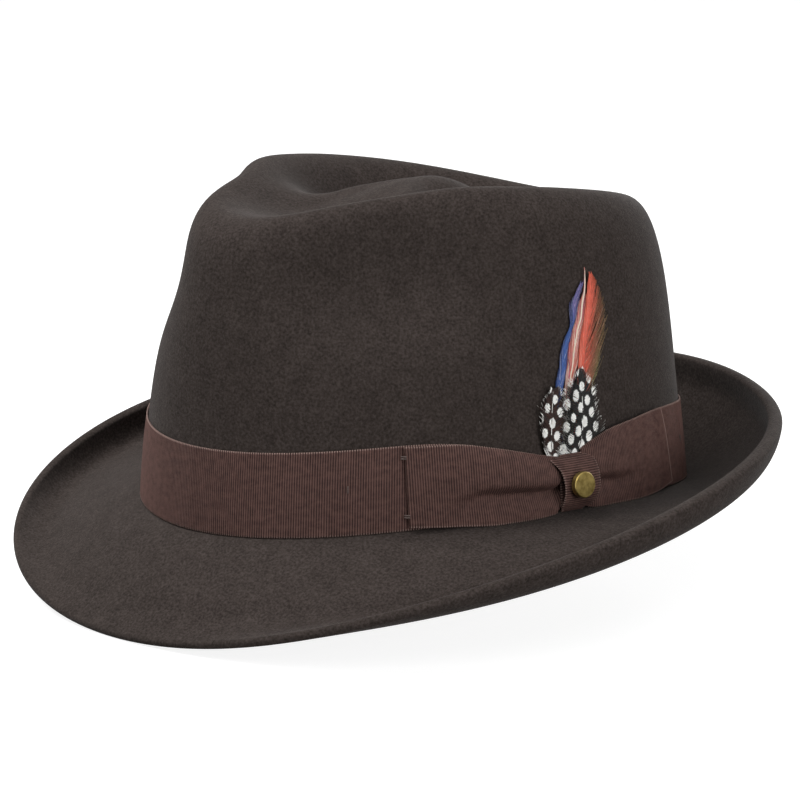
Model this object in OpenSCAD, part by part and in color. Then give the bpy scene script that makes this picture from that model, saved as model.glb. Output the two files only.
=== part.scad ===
// Felt fedora with a creased crown, ribbon band, flat bow, brass stud and feathers.
// The front faces -Y, the wearer's left is +X, and the origin is the centre of the head opening.
// Angles round the hat start at the front and grow towards the wearer's left.

/* [Head opening] */
// Length of the opening inside the felt, front to back
head_length = 204; // [190:1:220]
// Width of the opening inside the felt
head_width = 169; // [155:1:185]
// Thickness of the felt
felt_t = 3; // [2:0.1:3.6]
// Rise of the brim break at the sides above the front and back
break_rise = 8.6; // [0:0.2:14]

/* [Crown] */
// Height of the uncreased crown at its front
crown_front_h = 137; // [122:1:152]
// Height of the uncreased crown at its middle
crown_mid_h = 120; // [108:1:136]
// Height of the uncreased crown at its back
crown_back_h = 122; // [108:1:136]
// Lean of the front wall over the crown's height
lean_front = 8; // [2:0.5:24]
// Lean of the back wall over the crown's height
lean_back = 16.5; // [4:0.5:24]
// Lean of the side walls over the crown's height
lean_side = 9.5; // [4:0.5:24]
// Squareness of the crown's shoulder
shoulder_power = 6.4; // [4:0.1:9]

/* [Crease and pinches] */
// Depth of the teardrop crease
crease_depth = 35.5; // [20:0.5:38]
// Height of the dome on the crease's floor
crease_dome = 29; // [0:0.5:32]
// Half width of the crease
crease_half_w = 63.5; // [46:0.5:72]
// Distance of the crease's centre behind the crown's centre
crease_behind = 6; // [0:0.5:12]
// Reach of the crease ahead of its centre
crease_front = 129; // [96:1:136]
// Reach of the crease behind its centre
crease_back = 92.5; // [76:0.5:104]
// Share by which the crease widens towards the back
crease_tear = 0.13; // [0:0.01:0.5]
// Depth of the two front pinches
pinch_depth = 16; // [0:0.5:18]
// Angle of the pinches from the front
pinch_angle = 47; // [34:1:56]
// Angle over which a pinch fades
pinch_spread = 26; // [14:1:28]
// Height of the pinches above the brim break
pinch_height = 111.5; // [90:0.5:118]
// Height over which a pinch fades
pinch_fade = 44.5; // [22:0.5:48]
// Depth of the hollow pressed into each pinch below the ridge
hollow_depth = 6; // [0:0.5:8]
// Height of the hollows above the brim break
hollow_height = 84; // [72:1:92]
// Height over which a hollow fades
hollow_fade = 16; // [12:1:22]
// Lift of the crown's ridge over each pinch
ridge_lift = 7.5; // [0:0.5:10]
// Angle over which that lift fades
lift_spread = 22; // [14:1:28]

/* [Brim] */
// Width of the brim at the front, along the felt
brim_front_w = 46; // [36:0.5:60]
// Width of the brim at the front quarters
brim_quarter_w = 52; // [42:0.5:64]
// Width of the brim at the sides
brim_side_w = 54; // [44:0.5:66]
// Width of the brim at the rear quarters
brim_rear_w = 43; // [36:0.5:60]
// Width of the brim at the back
brim_back_w = 46; // [36:0.5:60]
// Width of the curled edge, part of the brim's width
brim_curl_w = 15; // [8:0.5:20]
// Slope of the brim at the break, at the front
slope_front = -36; // [-44:1:-10]
// Slope of the brim at the break, at the front quarters
slope_quarter = -23; // [-32:1:-6]
// Slope of the brim at the break, at the sides
slope_side = -8; // [-14:1:4]
// Slope of the brim at the break, at the rear quarters
slope_rear = 4; // [-4:1:14]
// Slope of the brim at the break, at the back
slope_back = 18; // [4:1:26]
// Slope where the curl begins, at the front
bend_front = -46; // [-52:1:-16]
// Slope where the curl begins, at the front quarters
bend_quarter = -34; // [-40:1:-8]
// Slope where the curl begins, at the sides
bend_side = 2; // [-8:1:20]
// Slope where the curl begins, at the rear quarters
bend_rear = 45; // [26:1:56]
// Slope where the curl begins, at the back
bend_back = 64; // [40:1:70]
// Slope of the edge at the front
edge_front = -37; // [-46:1:-10]
// Slope of the edge at the front quarters
edge_quarter = 36; // [0:1:50]
// Slope of the edge at the sides
edge_side = 90; // [50:1:100]
// Slope of the edge at the rear quarters
edge_rear = 83; // [50:1:96]
// Slope of the edge at the back
edge_back = 87; // [50:1:96]

/* [Ribbon] */
// Width of the ribbon
ribbon_w = 28.4; // [20:0.2:34]
// Thickness of the ribbon
ribbon_t = 0.6; // [0.4:0.1:1]
// Gap left between soft pieces that lie on each other
seat = 0.2; // [0.15:0.05:0.3]
// Height of the ribbon's lower edge above the brim break
ribbon_lift = 0.6; // [0.6:0.1:2]
// Depth by which the band dips behind the bow
band_dip = 12; // [6:0.5:14]
// Arc over which the band dips, each way from the knot
band_dip_spread = 31; // [22:1:36]
// Diameter of the tacking thread
thread_d = 0.5; // [0.3:0.1:0.8]
// Length of a tack
tack_len = 2.4; // [1.5:0.1:4]

/* [Bow] */
// Angle of the knot
knot_angle = 84.4; // [80:0.2:96]
// Width of the knot at its top
knot_top_w = 18; // [15:0.5:19]
// Width of the knot at its foot
knot_foot_w = 12.8; // [11:0.2:16]
// Sideways shift of the knot's foot towards the tail, and of its top towards the loop
knot_twist = 0.75; // [0:0.05:1.2]
// Height of the knot
knot_h = 18.4; // [16:0.2:22]
// Depth of the knot from back to front
knot_depth = 5; // [4.2:0.1:6.5]
// Length of the loop from the knot's middle to its fold
loop_len = 61.2; // [48:0.2:76]
// Slant of the loop's fold
loop_slant = 2; // [0:0.5:5]
// Puff of the loop where it is gathered
loop_puff = 2.2; // [1:0.1:3]
// Length of the tail from the knot's middle to its cut end
tail_len = 56.5; // [40:0.5:66]
// Slant of the tail's cut end
tail_slant = 5; // [0:0.5:8]
// Height of the tail's lower corner above the ribbon's edge
tail_rise = 2.2; // [0:0.2:6]
// Drop of the bow's lower edge over the sloping brim, below the brim break
bow_drop = 0.3; // [0:0.05:0.3]
// Depth of the creases folded into the loop and tail
fold_depth = 0.9; // [0.3:0.1:1.1]

/* [Stud] */
// Diameter of the stud's head
stud_d = 9; // [7:0.2:12]
// Thickness of the stud's head
stud_t = 2.7; // [1.6:0.1:3.4]
// Bevel round the stud's bare face
stud_bevel = 0.3; // [0.2:0.1:0.6]
// Diameter of the stud's post
post_d = 1.2; // [0.9:0.1:1.6]
// Radial clearance of the post in its clutch
post_clear = 0.05; // [0.03:0.01:0.1]
// Diameter of the clutch behind the knot
clutch_d = 4.4; // [3.4:0.1:5]
// Thickness of the clutch
clutch_t = 0.9; // [0.6:0.1:1.1]

/* [Feathers] */
// Height of the front spotted feather's tip above the brim break
guinea_front_h = 47.5; // [42:0.5:56]
// Half width of the front spotted feather
guinea_front_half_w = 8.2; // [6:0.2:9]
// Height of the rear spotted feather's tip
guinea_rear_h = 41; // [36:0.5:48]
// Half width of the rear spotted feather
guinea_rear_half_w = 6; // [4:0.2:7]
// Height of the red feather's tip
red_h = 78; // [68:0.5:86]
// Half width of the red feather
red_half_w = 5; // [4:0.2:6.4]
// Height of the blue feather's tip
blue_h = 76; // [66:0.5:84]
// Half width of the blue feather
blue_half_w = 3; // [2:0.2:6]
// Height of the olive feather's tip
olive_h = 57; // [50:0.5:66]
// Half width of the olive feather
olive_half_w = 4.4; // [3:0.2:5.4]
// Height of the cream feather's tip
cream_h = 79.5; // [70:0.5:88]
// Half width of the cream feather
cream_half_w = 2; // [1.2:0.1:2.4]
// Height at which the spotted feathers' vanes begin
guinea_low = 12.5; // [11:0.5:18]
// Height at which the coloured feathers' vanes begin
colour_low = 36; // [32:0.5:42]
// Thickness of a feather's shaft
shaft_t = 0.4; // [0.3:0.05:0.5]
// Thickness of a feather's vane at its edge
vane_t = 0.25; // [0.2:0.05:0.3]
// Gap between feathers that lie on each other
feather_gap = 0.1; // [0.1:0.05:0.2]
// Room round the feathers' quills behind the bow
quill_room = 0.3; // [0.3:0.05:0.5]
// Height of the quills' lower ends above the brim break
quill_low = 4; // [3:0.5:8]
// Spacing of the quills in their binding
quill_pitch = 0.9; // [0.8:0.05:1.2]
// Length of the thread binding round the quills
binding_len = 5; // [3:0.5:8]

/* [Sweatband] */
// Height of the sweatband
sweat_h = 36; // [28:1:44]
// Thickness of the sweatband's leather
sweat_t = 1; // [0.7:0.1:1.4]
// Diameter of the reed in the sweatband's lower edge
reed_d = 2.2; // [1.6:0.1:2.8]
// Number of stitches round the sweatband
stitch_n = 84; // [48:1:110]
// Length of a stitch
stitch_len = 3.4; // [2:0.1:4]
// Height of the stitches above the leather's lower edge
stitch_rise = 2.2; // [1.6:0.1:4]
// Height of the rear bow's middle above the leather's lower edge
rear_bow_rise = 10; // [8:0.5:20]
// Span of each loop of the rear bow
rear_bow_loop = 10; // [7:0.5:13]
// Height of the rear bow's loops
rear_bow_h = 6.5; // [4:0.5:8]

/* [Lining] */
// Thickness of the lining
lining_t = 0.4; // [0.3:0.05:0.6]
// Gap between the lining and the felt
lining_gap = 0.8; // [0.6:0.05:1.4]
// Height of the lining's lower edge above the brim break
lining_low = 6; // [4:1:16]
// Diameter of the piping in the lining's seam
piping_d = 1.6; // [1.2:0.1:2.4]

/* [Hidden] */
$fn = 48;

felt_colour = "#3c3532";
ribbon_colour = "#493a36";
brass_colour = "#a08a4e";
leather_colour = "#4a3426";
satin_colour = "#6b5340";

// Steps round the hat and along the crown's profile
round_steps = 72;
wall_rings = 6;
top_rings = 11;
brim_stations = [0, 0.25, 0.5, 0.75, 1, 1.2, 1.4, 1.6, 1.8, 2];
tube_sides = 6;

half_l = head_length / 2 + felt_t;
half_w = head_width / 2 + felt_t;
// Shares of the crease's reach taken by its floor and by the dome on it
crease_floor = 0.35;
dome_share = 0.73;
// Shares of the crown's height at which the crease begins and has its full depth
crease_start = 0.6;
crease_full = 0.9;
// Distances from the crown's middle inside which the pinches and the ridge's lift fade out
pinch_inner = half_w * 0.7;
lift_inner = half_w * 0.6;
side_bend_r = half_l * half_l / half_w;
back_bend_r = half_w * half_w / half_l;
angles = [for (i = [0 : round_steps - 1]) 360 * i / round_steps];

// Curves through the brim's values at the front, quarters and back, as cosine series
brim_w_series = cosines([brim_front_w, brim_quarter_w, brim_side_w, brim_rear_w, brim_back_w]);
slope_series = cosines([slope_front, slope_quarter, slope_side, slope_rear, slope_back]);
bend_series = cosines([bend_front, bend_quarter, bend_side, bend_rear, bend_back]);
edge_series = cosines([edge_front, edge_quarter, edge_side, edge_rear, edge_back]);

// Distances out from the felt's outer face at which the pieces on it lie
band_in = seat;
band_out = band_in + ribbon_t;
quill_in = band_out + quill_room;
binding_wall = 0.2;
binding_gap = 0.05;
layer_pitch = shaft_t + feather_gap;
quill_layers = 3;
quill_deep = (quill_layers - 1) * layer_pitch + shaft_t + 2 * binding_gap;
quill_d = quill_in + binding_wall + binding_gap + shaft_t / 2;
bow_in = quill_in + quill_deep + 2 * binding_wall + quill_room;
knot_front = bow_in + knot_depth;
knot_r = (knot_h * knot_h / 4 + knot_depth * knot_depth) / (2 * knot_depth);
knot_mid_v = knot_h / 2 - seat;

// Distances in from the felt's outer face at which the pieces inside it lie
lining_out = felt_t + lining_gap;
lining_in = lining_out + lining_t;
sweat_out = lining_in + seat;
sweat_in = sweat_out + sweat_t;
reed_mid = sweat_out + reed_d / 2;
sweat_low = reed_d / 2 + seat;

// Smooth step from 0 to 1
function ease(q) = let (k = max(0, min(1, q))) k * k * (3 - 2 * k);
function bell(q) = exp(-q * q);
function mix(a, b, k) = a + (b - a) * k;
function half_turn(th) = th - 360 * round(th / 360);

// Cosine series through five values spaced 45 degrees apart
function cosines(v) = [
  for (i = [0 : 4])
    let (end = i == 0 || i == 4 ? 0.25 : 0.5)
      end * (v[0] + v[4] * cos(180 * i)
        + 2 * (v[1] * cos(45 * i) + v[2] * cos(90 * i) + v[3] * cos(135 * i))) / 2
];
function around(c, th) =
  c[0] + c[1] * cos(th) + c[2] * cos(2 * th) + c[3] * cos(3 * th) + c[4] * cos(4 * th);

function break_z(th) = break_rise * sin(th) * sin(th);

// Height of the uncreased crown, from y = -1 at the front to 1 at the back
function crown_h(y) =
  let (tilt = (crown_back_h - crown_front_h) / 2, sag = (crown_back_h + crown_front_h) / 2 - crown_mid_h)
    crown_mid_h + tilt * y + sag * y * y;
function lean_end(th) = (lean_front + lean_back) / 2 + (lean_front - lean_back) / 2 * cos(th);

// Shoulder curve: how far in the crown is at a share of its height, and the other way round
function shoulder(k) = pow(max(0, 1 - pow(max(k, 0), shoulder_power)), 1 / shoulder_power);

// Depth of the teardrop crease over a point of the crown
function crease(p) =
  let (
    along = p[1] - crease_behind,
    back = max(-1, min(1, along / (along < 0 ? crease_front : crease_back))),
    across = p[0] / (crease_half_w * (1 + crease_tear * back)),
    q = sqrt(across * across + back * back)
  )
    crease_depth * (1 - ease((q - crease_floor) / (1 - crease_floor)))
    - crease_dome * (1 - ease(q / dome_share));

// Inward push of the two pinches at an angle, height and distance from the crown's middle
function at_pinches(th, spread) =
  bell(half_turn(th - pinch_angle) / spread) + bell(half_turn(th + pinch_angle) / spread);
function pinch(th, z, r) =
  let (
    ridge_push = pinch_depth * bell((z - pinch_height) / pinch_fade),
    hollow_push = hollow_depth * bell((z - hollow_height) / hollow_fade)
  )
    (ridge_push + hollow_push) * at_pinches(th, pinch_spread) * ease(r / pinch_inner);

// Point of the crown at a share of its height (up) and of its half width (out), d outside the felt's face
function crown(th, up, out, d) =
  let (
    x0 = out * (half_w + d - up * lean_side) * sin(th),
    y0 = -out * (half_l + d - up * lean_end(th)) * cos(th),
    z0 = break_z(th) * (1 - up) + (crown_h(y0 / half_l) + d) * up,
    r0 = max(norm([x0, y0]), 0.001),
    k = 1 - pinch(th, z0, r0) / r0,
    p = [x0 * k, y0 * k, z0],
    lift = ridge_lift * at_pinches(th, lift_spread) * ease(norm([x0, y0]) / lift_inner)
  ) p + [0, 0, (lift - crease(p)) * ease((up - crease_start) / (crease_full - crease_start))];

// Point of the crown's wall at height v above the break
function wall(th, v, d) =
  let (up = v / (crown_h(-cos(th)) - break_z(th))) crown(th, up, shoulder(up), d);

// Angle reached by an arc of the crown's side, counted from the knot
function side_angle(arc) = knot_angle + arc / half_l * 180 / PI;
function side_arc(th) = half_turn(th - knot_angle) * half_l * PI / 180;

function arc_out(w, a, b, s) =
  abs(b - a) < 0.01 ? w * s * cos(a) : w * 180 / PI / (b - a) * (sin(a + (b - a) * s) - sin(a));
function arc_up(w, a, b, s) =
  abs(b - a) < 0.01 ? w * s * sin(a) : w * 180 / PI / (b - a) * (cos(a) - cos(a + (b - a) * s));

// Point of the brim below its upper face by drop and past its edge by more. The station runs from 0 at
// the break to 1 where the curl begins and 2 at the edge.
function brim(th, station, drop, more = 0) =
  let (
    flat = around(brim_w_series, th) - brim_curl_w,
    a = around(slope_series, th),
    b = around(bend_series, th),
    c = around(edge_series, th),
    s1 = min(1, station),
    s2 = max(0, station - 1),
    tilt = station < 1 ? mix(a, b, s1) : mix(b, c, s2),
    out = arc_out(flat, a, b, s1) + arc_out(brim_curl_w, b, c, s2) + drop * sin(tilt) + more * cos(tilt),
    up = arc_up(flat, a, b, s1) + arc_up(brim_curl_w, b, c, s2) - drop * cos(tilt) + more * sin(tilt),
    n = outward(th)
  ) [half_w * sin(th) + out * n[0], -half_l * cos(th) + out * n[1], break_z(th) + up];

// Outward direction of the head oval in plan
function outward(th) = let (v = [sin(th) / half_w, -cos(th) / half_l]) v / norm(v);
function heading(th) = let (n = outward(th)) atan2(n[1], n[0]);
function wall_lean(th, v) =
  let (p = wall(th, v + 5, 0) - wall(th, v - 5, 0), n = outward(th))
    atan2(-(p[0] * n[0] + p[1] * n[1]), p[2]);

// Profile of the crown as pairs of up and out, from the break to just short of the top
shoulder_mid = pow(0.5, 1 / shoulder_power);
crown_steps = [
  for (i = [0 : wall_rings]) let (up = shoulder_mid * i / wall_rings) [up, shoulder(up)],
  for (i = [1 : top_rings - 1]) let (out = shoulder_mid * (1 - i / top_rings)) [shoulder(out), out]
];

// Triangles of a closed net of rings, each with m points
function net(n, m, closed) = [
  for (i = [0 : n - (closed ? 1 : 2)], j = [0 : m - 1])
    let (
      a = i * m + j,
      b = i * m + (j + 1) % m,
      c = (i + 1) % n * m + j,
      d = (i + 1) % n * m + (j + 1) % m
    ) each [[a, c, d], [a, d, b]]
];

// Solid between two poles, through rings that run round the Z axis
module lathe(rings, pole_a, pole_b) {
  n = len(rings);
  m = len(rings[0]);
  points = [for (r = rings) each r, pole_a, pole_b];
  fans = [
    for (j = [0 : m - 1])
      each [[n * m, j, (j + 1) % m], [n * m + 1, (n - 1) * m + (j + 1) % m, (n - 1) * m + j]]
  ];
  polyhedron(points, concat(net(n, m, false), fans), convexity = 10);
}

// Solid swept through loops of an even number of points, closed on itself or capped
module loft(loops, closed = false) {
  n = len(loops);
  m = len(loops[0]);
  last = (n - 1) * m;
  caps = closed ? [] : [
    for (j = [0 : m / 2 - 2])
      each [
        [j, j + 1, m - 2 - j], [j, m - 2 - j, m - 1 - j],
        [last + j, last + m - 2 - j, last + j + 1], [last + j, last + m - 1 - j, last + m - 2 - j]
      ]
  ];
  polyhedron([for (l = loops) each l], concat(net(n, m, closed), caps), convexity = 10);
}

function reversed(list) = [for (i = [len(list) - 1 : -1 : 0]) list[i]];

// Band on the crown's wall between two heights, lying from d_in to d_out off the felt's face. Its upper edge
// is lowered by dip, a function of the angle.
module wall_hoop(v_low, v_high, d_in, d_out, rows = 1, dip = function (th) 0) {
  loft([
    for (th = angles)
      let (heights = [for (i = [0 : rows]) mix(v_low, v_high - dip(th), i / rows)])
        concat([for (v = heights) wall(th, v, d_in)], [for (v = reversed(heights)) wall(th, v, d_out)])
  ], closed = true);
}

// Round cord that follows a closed run of centre points
module cord_hoop(centres, d) {
  loft([
    for (i = [0 : len(centres) - 1])
      let (n = outward(angles[i]))
        [
          for (k = [0 : tube_sides - 1])
            let (q = 180 - 360 * k / tube_sides)
              centres[i] + d / 2 * [cos(q) * n[0], cos(q) * n[1], sin(q)]
        ]
  ], closed = true);
}

// Places a piece on the crown's wall: local X points out, Y round the hat and Z up the wall
module on_wall(th, v, d) {
  translate(wall(th, v, 0))
    rotate([0, 0, heading(th)])
      rotate([0, -wall_lean(th, v), 0])
        translate([d, 0, 0])
          children();
}

module felt_body() {
  inner = -felt_t;
  edge = brim_stations[len(brim_stations) - 1];
  rings = concat(
    reversed([for (s = crown_steps) [for (th = angles) crown(th, s[0], s[1], inner)]]),
    [for (k = brim_stations) [for (th = angles) brim(th, k, felt_t)]],
    [[for (th = angles) brim(th, edge, felt_t / 2, felt_t / 3)]],
    [for (k = reversed(brim_stations)) if (k > 0) [for (th = angles) brim(th, k, 0)]],
    [for (s = crown_steps) [for (th = angles) crown(th, s[0], s[1], 0)]]
  );
  color(felt_colour) lathe(rings, crown(0, 1, 0, inner), crown(0, 1, 0, 0));
}

module hat_band() {
  color(ribbon_colour)
    wall_hoop(
      ribbon_lift, ribbon_lift + ribbon_w, band_in, band_out, rows = 2,
      dip = function (th) band_dip * bell(side_arc(th) / band_dip_spread)
    );
}

// Thread tacks: four upright ones round the band, and two level ones that run up to the bow's folded end
module tack_stitches() {
  tack_v = ribbon_lift + ribbon_w * 0.53;
  first_tack = 39;
  fold_tacks = [0.18, 0.87];
  fold_arc = loop_len + 2 * seat + tack_len / 2;
  on_band = band_out + seat + thread_d / 2;
  color(ribbon_colour) {
    for (i = [0 : 3])
      on_wall(first_tack + 90 * i, tack_v, on_band)
        cylinder(d = thread_d, h = tack_len, center = true);
    for (share = fold_tacks)
      on_wall(side_angle(loop_slant * (0.5 - share) - fold_arc), ribbon_w * share, on_band)
        rotate([90, 0, 0])
          cylinder(d = thread_d, h = tack_len, center = true);
  }
}

// Ribbon of the bow between two arcs, whose first end is cut with a slant: low and high edges, back and front
// faces are functions of the share along it, and a fold runs along it at the share fold(u) of its height
module bow_ribbon(steps, rows, arc_a, arc_b, slant, low, high, back, front, fold) {
  function angle_at(u, w) = side_angle(mix(arc_a + slant * (0.5 - w), arc_b, u));
  loft([
    for (i = [0 : steps])
      let (
        u = i / steps,
        inner_low = max(ribbon_lift, low(u)),
        outer = [
          for (j = [0 : rows])
            let (
              w = j / rows,
              flat_belly = pow(sin(180 * mix(0.06, 0.94, w)), 0.6),
              knot_belly = 1 - pow(2 * w - 1, 2),
              belly = mix(flat_belly, knot_belly, ease((u - 0.6) / 0.3)),
              dip = fold_depth * ease(u * 2) * bell((w - fold(u)) / 0.1),
              face = back(u) + ribbon_t + (front(u) - back(u) - ribbon_t) * belly - dip
            )
              wall(angle_at(u, w), mix(low(u), high(u), w), face)
        ],
        inner = [
          for (j = [0 : rows])
            wall(angle_at(u, j / rows), mix(inner_low, high(u), j / rows), back(u))
        ]
      )
        arc_a < arc_b ? concat(inner, reversed(outer)) : concat(outer, reversed(inner))
  ]);
}

// Height of the ribbons' ends where they run into the knot
gather_half = knot_h * 0.345;
gather_low = knot_mid_v - gather_half;
gather_high = knot_mid_v + gather_half;
// The knot's back is flat, and the ribbons in it follow the crown's curve
knot_sag = pow(knot_top_w / 2 + knot_twist, 2) / 2 / side_bend_r;
gather_back = bow_in + ribbon_t + seat + knot_sag;
gather_front = knot_front - ribbon_t - 4 * seat;
on_band_d = band_out + seat;
// Arc from the knot's middle at which the ribbons end inside it
gather_arc = clutch_d / 2 + 1.2;

module bow_loop() {
  color(ribbon_colour)
    bow_ribbon(
      18, 8, -loop_len, -gather_arc, loop_slant,
      function (u) mix(mix(ribbon_lift, -bow_drop, ease(u / 0.35)), gather_low, ease((u - 0.66) / 0.22)),
      function (u)
        mix(ribbon_w, gather_high, 0.5 * ease((u - 0.05) / 0.75) + 0.5 * ease((u - 0.66) / 0.22)),
      function (u) mix(on_band_d, gather_back, ease((u - 0.25) / 0.45)),
      function (u) mix(on_band_d + 2 * ribbon_t + seat, gather_front, ease((u - 0.3) / 0.4))
        + loop_puff * bell((u - 0.6) / 0.3) * 0.6,
      function (u) mix(0.25, 0.42, u)
    );
}

module bow_tail() {
  color(ribbon_colour)
    bow_ribbon(
      18, 8, tail_len, gather_arc, tail_slant,
      function (u) mix(ribbon_lift + tail_rise * (1 - ease(u / 0.4)), gather_low, ease((u - 0.64) / 0.24)),
      function (u)
        mix(ribbon_lift + ribbon_w, gather_high, 0.34 * ease(u / 0.9) + 0.66 * ease((u - 0.68) / 0.2)),
      function (u) mix(on_band_d, gather_back, ease((u - 0.3) / 0.3)),
      function (u) mix(on_band_d + 2 * ribbon_t, gather_front, ease((u - 0.2) / 0.5)),
      function (u) 0.42
    );
}

// Half-round outline of the knot, seen along the hat's side
module knot_outline(inset) {
  intersection() {
    translate([knot_front - knot_r, 0]) circle(r = knot_r - inset, $fn = 96);
    translate([bow_in + inset, -knot_h]) square([knot_depth, 2 * knot_h]);
  }
}

module bow_knot() {
  color(ribbon_colour)
    on_wall(knot_angle, knot_mid_v, 0)
      difference() {
        intersection() {
          rotate([90, 0, 0])
            linear_extrude(height = knot_top_w, center = true)
              difference() {
                knot_outline(0);
                knot_outline(ribbon_t);
              }
          rotate([0, 90, 0])
            linear_extrude(height = 2 * knot_front)
              polygon([
                [-knot_h / 2, -knot_top_w / 2 - knot_twist], [-knot_h / 2, knot_top_w / 2 - knot_twist],
                [knot_h / 2, knot_foot_w / 2 + knot_twist], [knot_h / 2, -knot_foot_w / 2 + knot_twist]
              ]);
        }
        translate([knot_front, 0, 0])
          rotate([0, 90, 0])
            cylinder(d = post_d + 2 * quill_room, h = knot_depth, center = true);
      }
}

// Places a piece on the stud's axis, with local Z pointing out of the knot's front
module on_stud() {
  on_wall(knot_angle, knot_mid_v, knot_front) rotate([0, 90, 0]) children();
}

module stud_head() {
  r = stud_d / 2;
  back_bevel = stud_t / 4;
  color(brass_colour)
    on_stud()
      translate([0, 0, quill_room])
        rotate_extrude($fn = 96)
          polygon([
            [0, 0], [r - back_bevel, 0], [r, back_bevel],
            [r, stud_t - stud_bevel], [r - stud_bevel, stud_t], [0, stud_t]
          ]);
}

// Gap that the clutch needs behind the knot's curved front
clutch_gap = seat + clutch_d * clutch_d / 8 / (knot_r - ribbon_t);
post_len = quill_room + ribbon_t + clutch_gap + clutch_t + seat;

module stud_post() {
  color(brass_colour) on_stud() translate([0, 0, quill_room - post_len]) cylinder(d = post_d, h = post_len);
}

module stud_clutch() {
  color(brass_colour)
    on_stud()
      translate([0, 0, -ribbon_t - clutch_gap - clutch_t])
        difference() {
          cylinder(d = clutch_d, h = clutch_t);
          translate([0, 0, -clutch_t]) cylinder(d = post_d + 2 * post_clear, h = 3 * clutch_t);
        }
}

// Feather on the crown. Its quill stands in a lane of the binding, on a layer behind the bow. Its tip leans
// round the hat by the share lean of its height, and later in the climb where the power sway is larger. Its
// vane runs from vane_low to the tip at tip_v, lies on a layer of its own, has its full half width at the
// share full of its length, and bows out by the share bow of that half width.
module feather(lane, quill_layer, vane_layer, vane_low, tip_v, lean, sway, half_vane, full, bow) {
  steps = 15;
  shaft_share = 0.12;
  ribs = [-1, -0.55, -shaft_share, shaft_share, 0.55, 1];
  lean_low = quill_low + binding_len + 2;
  root = lane * quill_pitch;
  tip_arc = lean * tip_v;
  stem_d = quill_d + quill_layer * layer_pitch;
  vane_d = seat + shaft_t / 2 + vane_layer * layer_pitch;
  step_v = quill_layer == 0 ? ribbon_lift + ribbon_w : ribbon_w * 0.75;
  loft([
    for (i = [0 : steps])
      let (
        v = i == 0 ? quill_low : mix(lean_low, tip_v, (i - 1) / (steps - 1)),
        along = max(0, (v - vane_low) / (tip_v - vane_low)),
        leaning = pow(max(0, (v - lean_low) / (tip_v - lean_low)), sway),
        arc = mix(root, tip_arc, leaning) + bow * half_vane * sin(180 * along),
        narrowing = along < full ? sin(90 * along / full) : sqrt(1 - pow((along - full) / (1 - full), 2)),
        spread = max(shaft_t / 2, half_vane * narrowing),
        d = mix(stem_d, vane_d, ease((v - step_v) / (ribbon_w * 0.2))),
        face = [for (k = ribs) [side_angle(arc + k * spread), (abs(k) == shaft_share ? shaft_t : vane_t) / 2]]
      )
        concat(
          [for (f = face) wall(f[0], v, d + f[1])],
          [for (f = reversed(face)) wall(f[0], v, d - f[1])]
        )
  ]);
}

module guinea_feather_front() {
  color("#2b2a2a")
    feather(
      lane = -2, quill_layer = 2, vane_layer = 5, vane_low = guinea_low, tip_v = guinea_front_h,
      lean = 0.165, sway = 0.45, half_vane = guinea_front_half_w, full = 0.5, bow = 0.2
    );
}

module guinea_feather_rear() {
  color("#3a3230")
    feather(
      lane = -3, quill_layer = 1, vane_layer = 4, vane_low = guinea_low, tip_v = guinea_rear_h,
      lean = -0.11, sway = 1, half_vane = guinea_rear_half_w, full = 0.55, bow = -0.25
    );
}

module red_feather() {
  color("#b4492f")
    feather(
      lane = 2, quill_layer = 0, vane_layer = 3, vane_low = colour_low, tip_v = red_h,
      lean = 0.213, sway = 0.5, half_vane = red_half_w, full = 0.55, bow = 0.25
    );
}

module cream_feather() {
  color("#d8cdb8")
    feather(
      lane = 0, quill_layer = 0, vane_layer = 2, vane_low = colour_low, tip_v = cream_h,
      lean = 0.186, sway = 1.6, half_vane = cream_half_w, full = 0.5, bow = 0
    );
}

module blue_feather() {
  color("#3a4a86")
    feather(
      lane = -1, quill_layer = 0, vane_layer = 1, vane_low = colour_low, tip_v = blue_h,
      lean = 0.178, sway = 3, half_vane = blue_half_w, full = 0.4, bow = -0.6
    );
}

module olive_feather() {
  color("#5c5a36")
    feather(
      lane = 1, quill_layer = 0, vane_layer = 0, vane_low = colour_low, tip_v = olive_h,
      lean = 0.316, sway = 1, half_vane = olive_half_w, full = 0.5, bow = 0
    );
}

// Flat sleeve of thread round all six quills
module feather_binding() {
  lanes_mid = -0.5 * quill_pitch;
  wide = 5 * quill_pitch + shaft_t + 4 * binding_gap;
  mid_d = quill_in + binding_wall + quill_deep / 2;
  color("#1c1816")
    on_wall(knot_angle, quill_low + 1 + binding_len / 2, mid_d)
      translate([0, lanes_mid, 0])
        difference() {
          cube([quill_deep + 2 * binding_wall, wide + 2 * binding_wall, binding_len], center = true);
          cube([quill_deep, wide, 2 * binding_len], center = true);
        }
}

module sweatband() {
  color(leather_colour) wall_hoop(sweat_low, sweat_low + sweat_h, -sweat_in, -sweat_out);
}

module sweatband_reed() {
  color("#d9d4c4") cord_hoop([for (th = angles) wall(th, 0, -reed_mid)], reed_d);
}

module sweatband_stitching() {
  stitch_v = sweat_low + stitch_rise;
  color("#2a201a")
    for (i = [0 : stitch_n - 1]) {
      th = 360 * (i + 0.5) / stitch_n;
      on_wall(th, stitch_v, -sweat_in - seat - thread_d / 2)
        rotate([90, 0, 0])
          cylinder(d = thread_d, h = stitch_len, center = true);
    }
}

// Loop of the rear bow, a lens of two arcs
module bow_lens() {
  r = (rear_bow_loop * rear_bow_loop + rear_bow_h * rear_bow_h) / (4 * rear_bow_h);
  intersection() {
    translate([0, r - rear_bow_h / 2]) circle(r = r, $fn = 96);
    translate([0, rear_bow_h / 2 - r]) circle(r = r, $fn = 96);
  }
}

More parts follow.
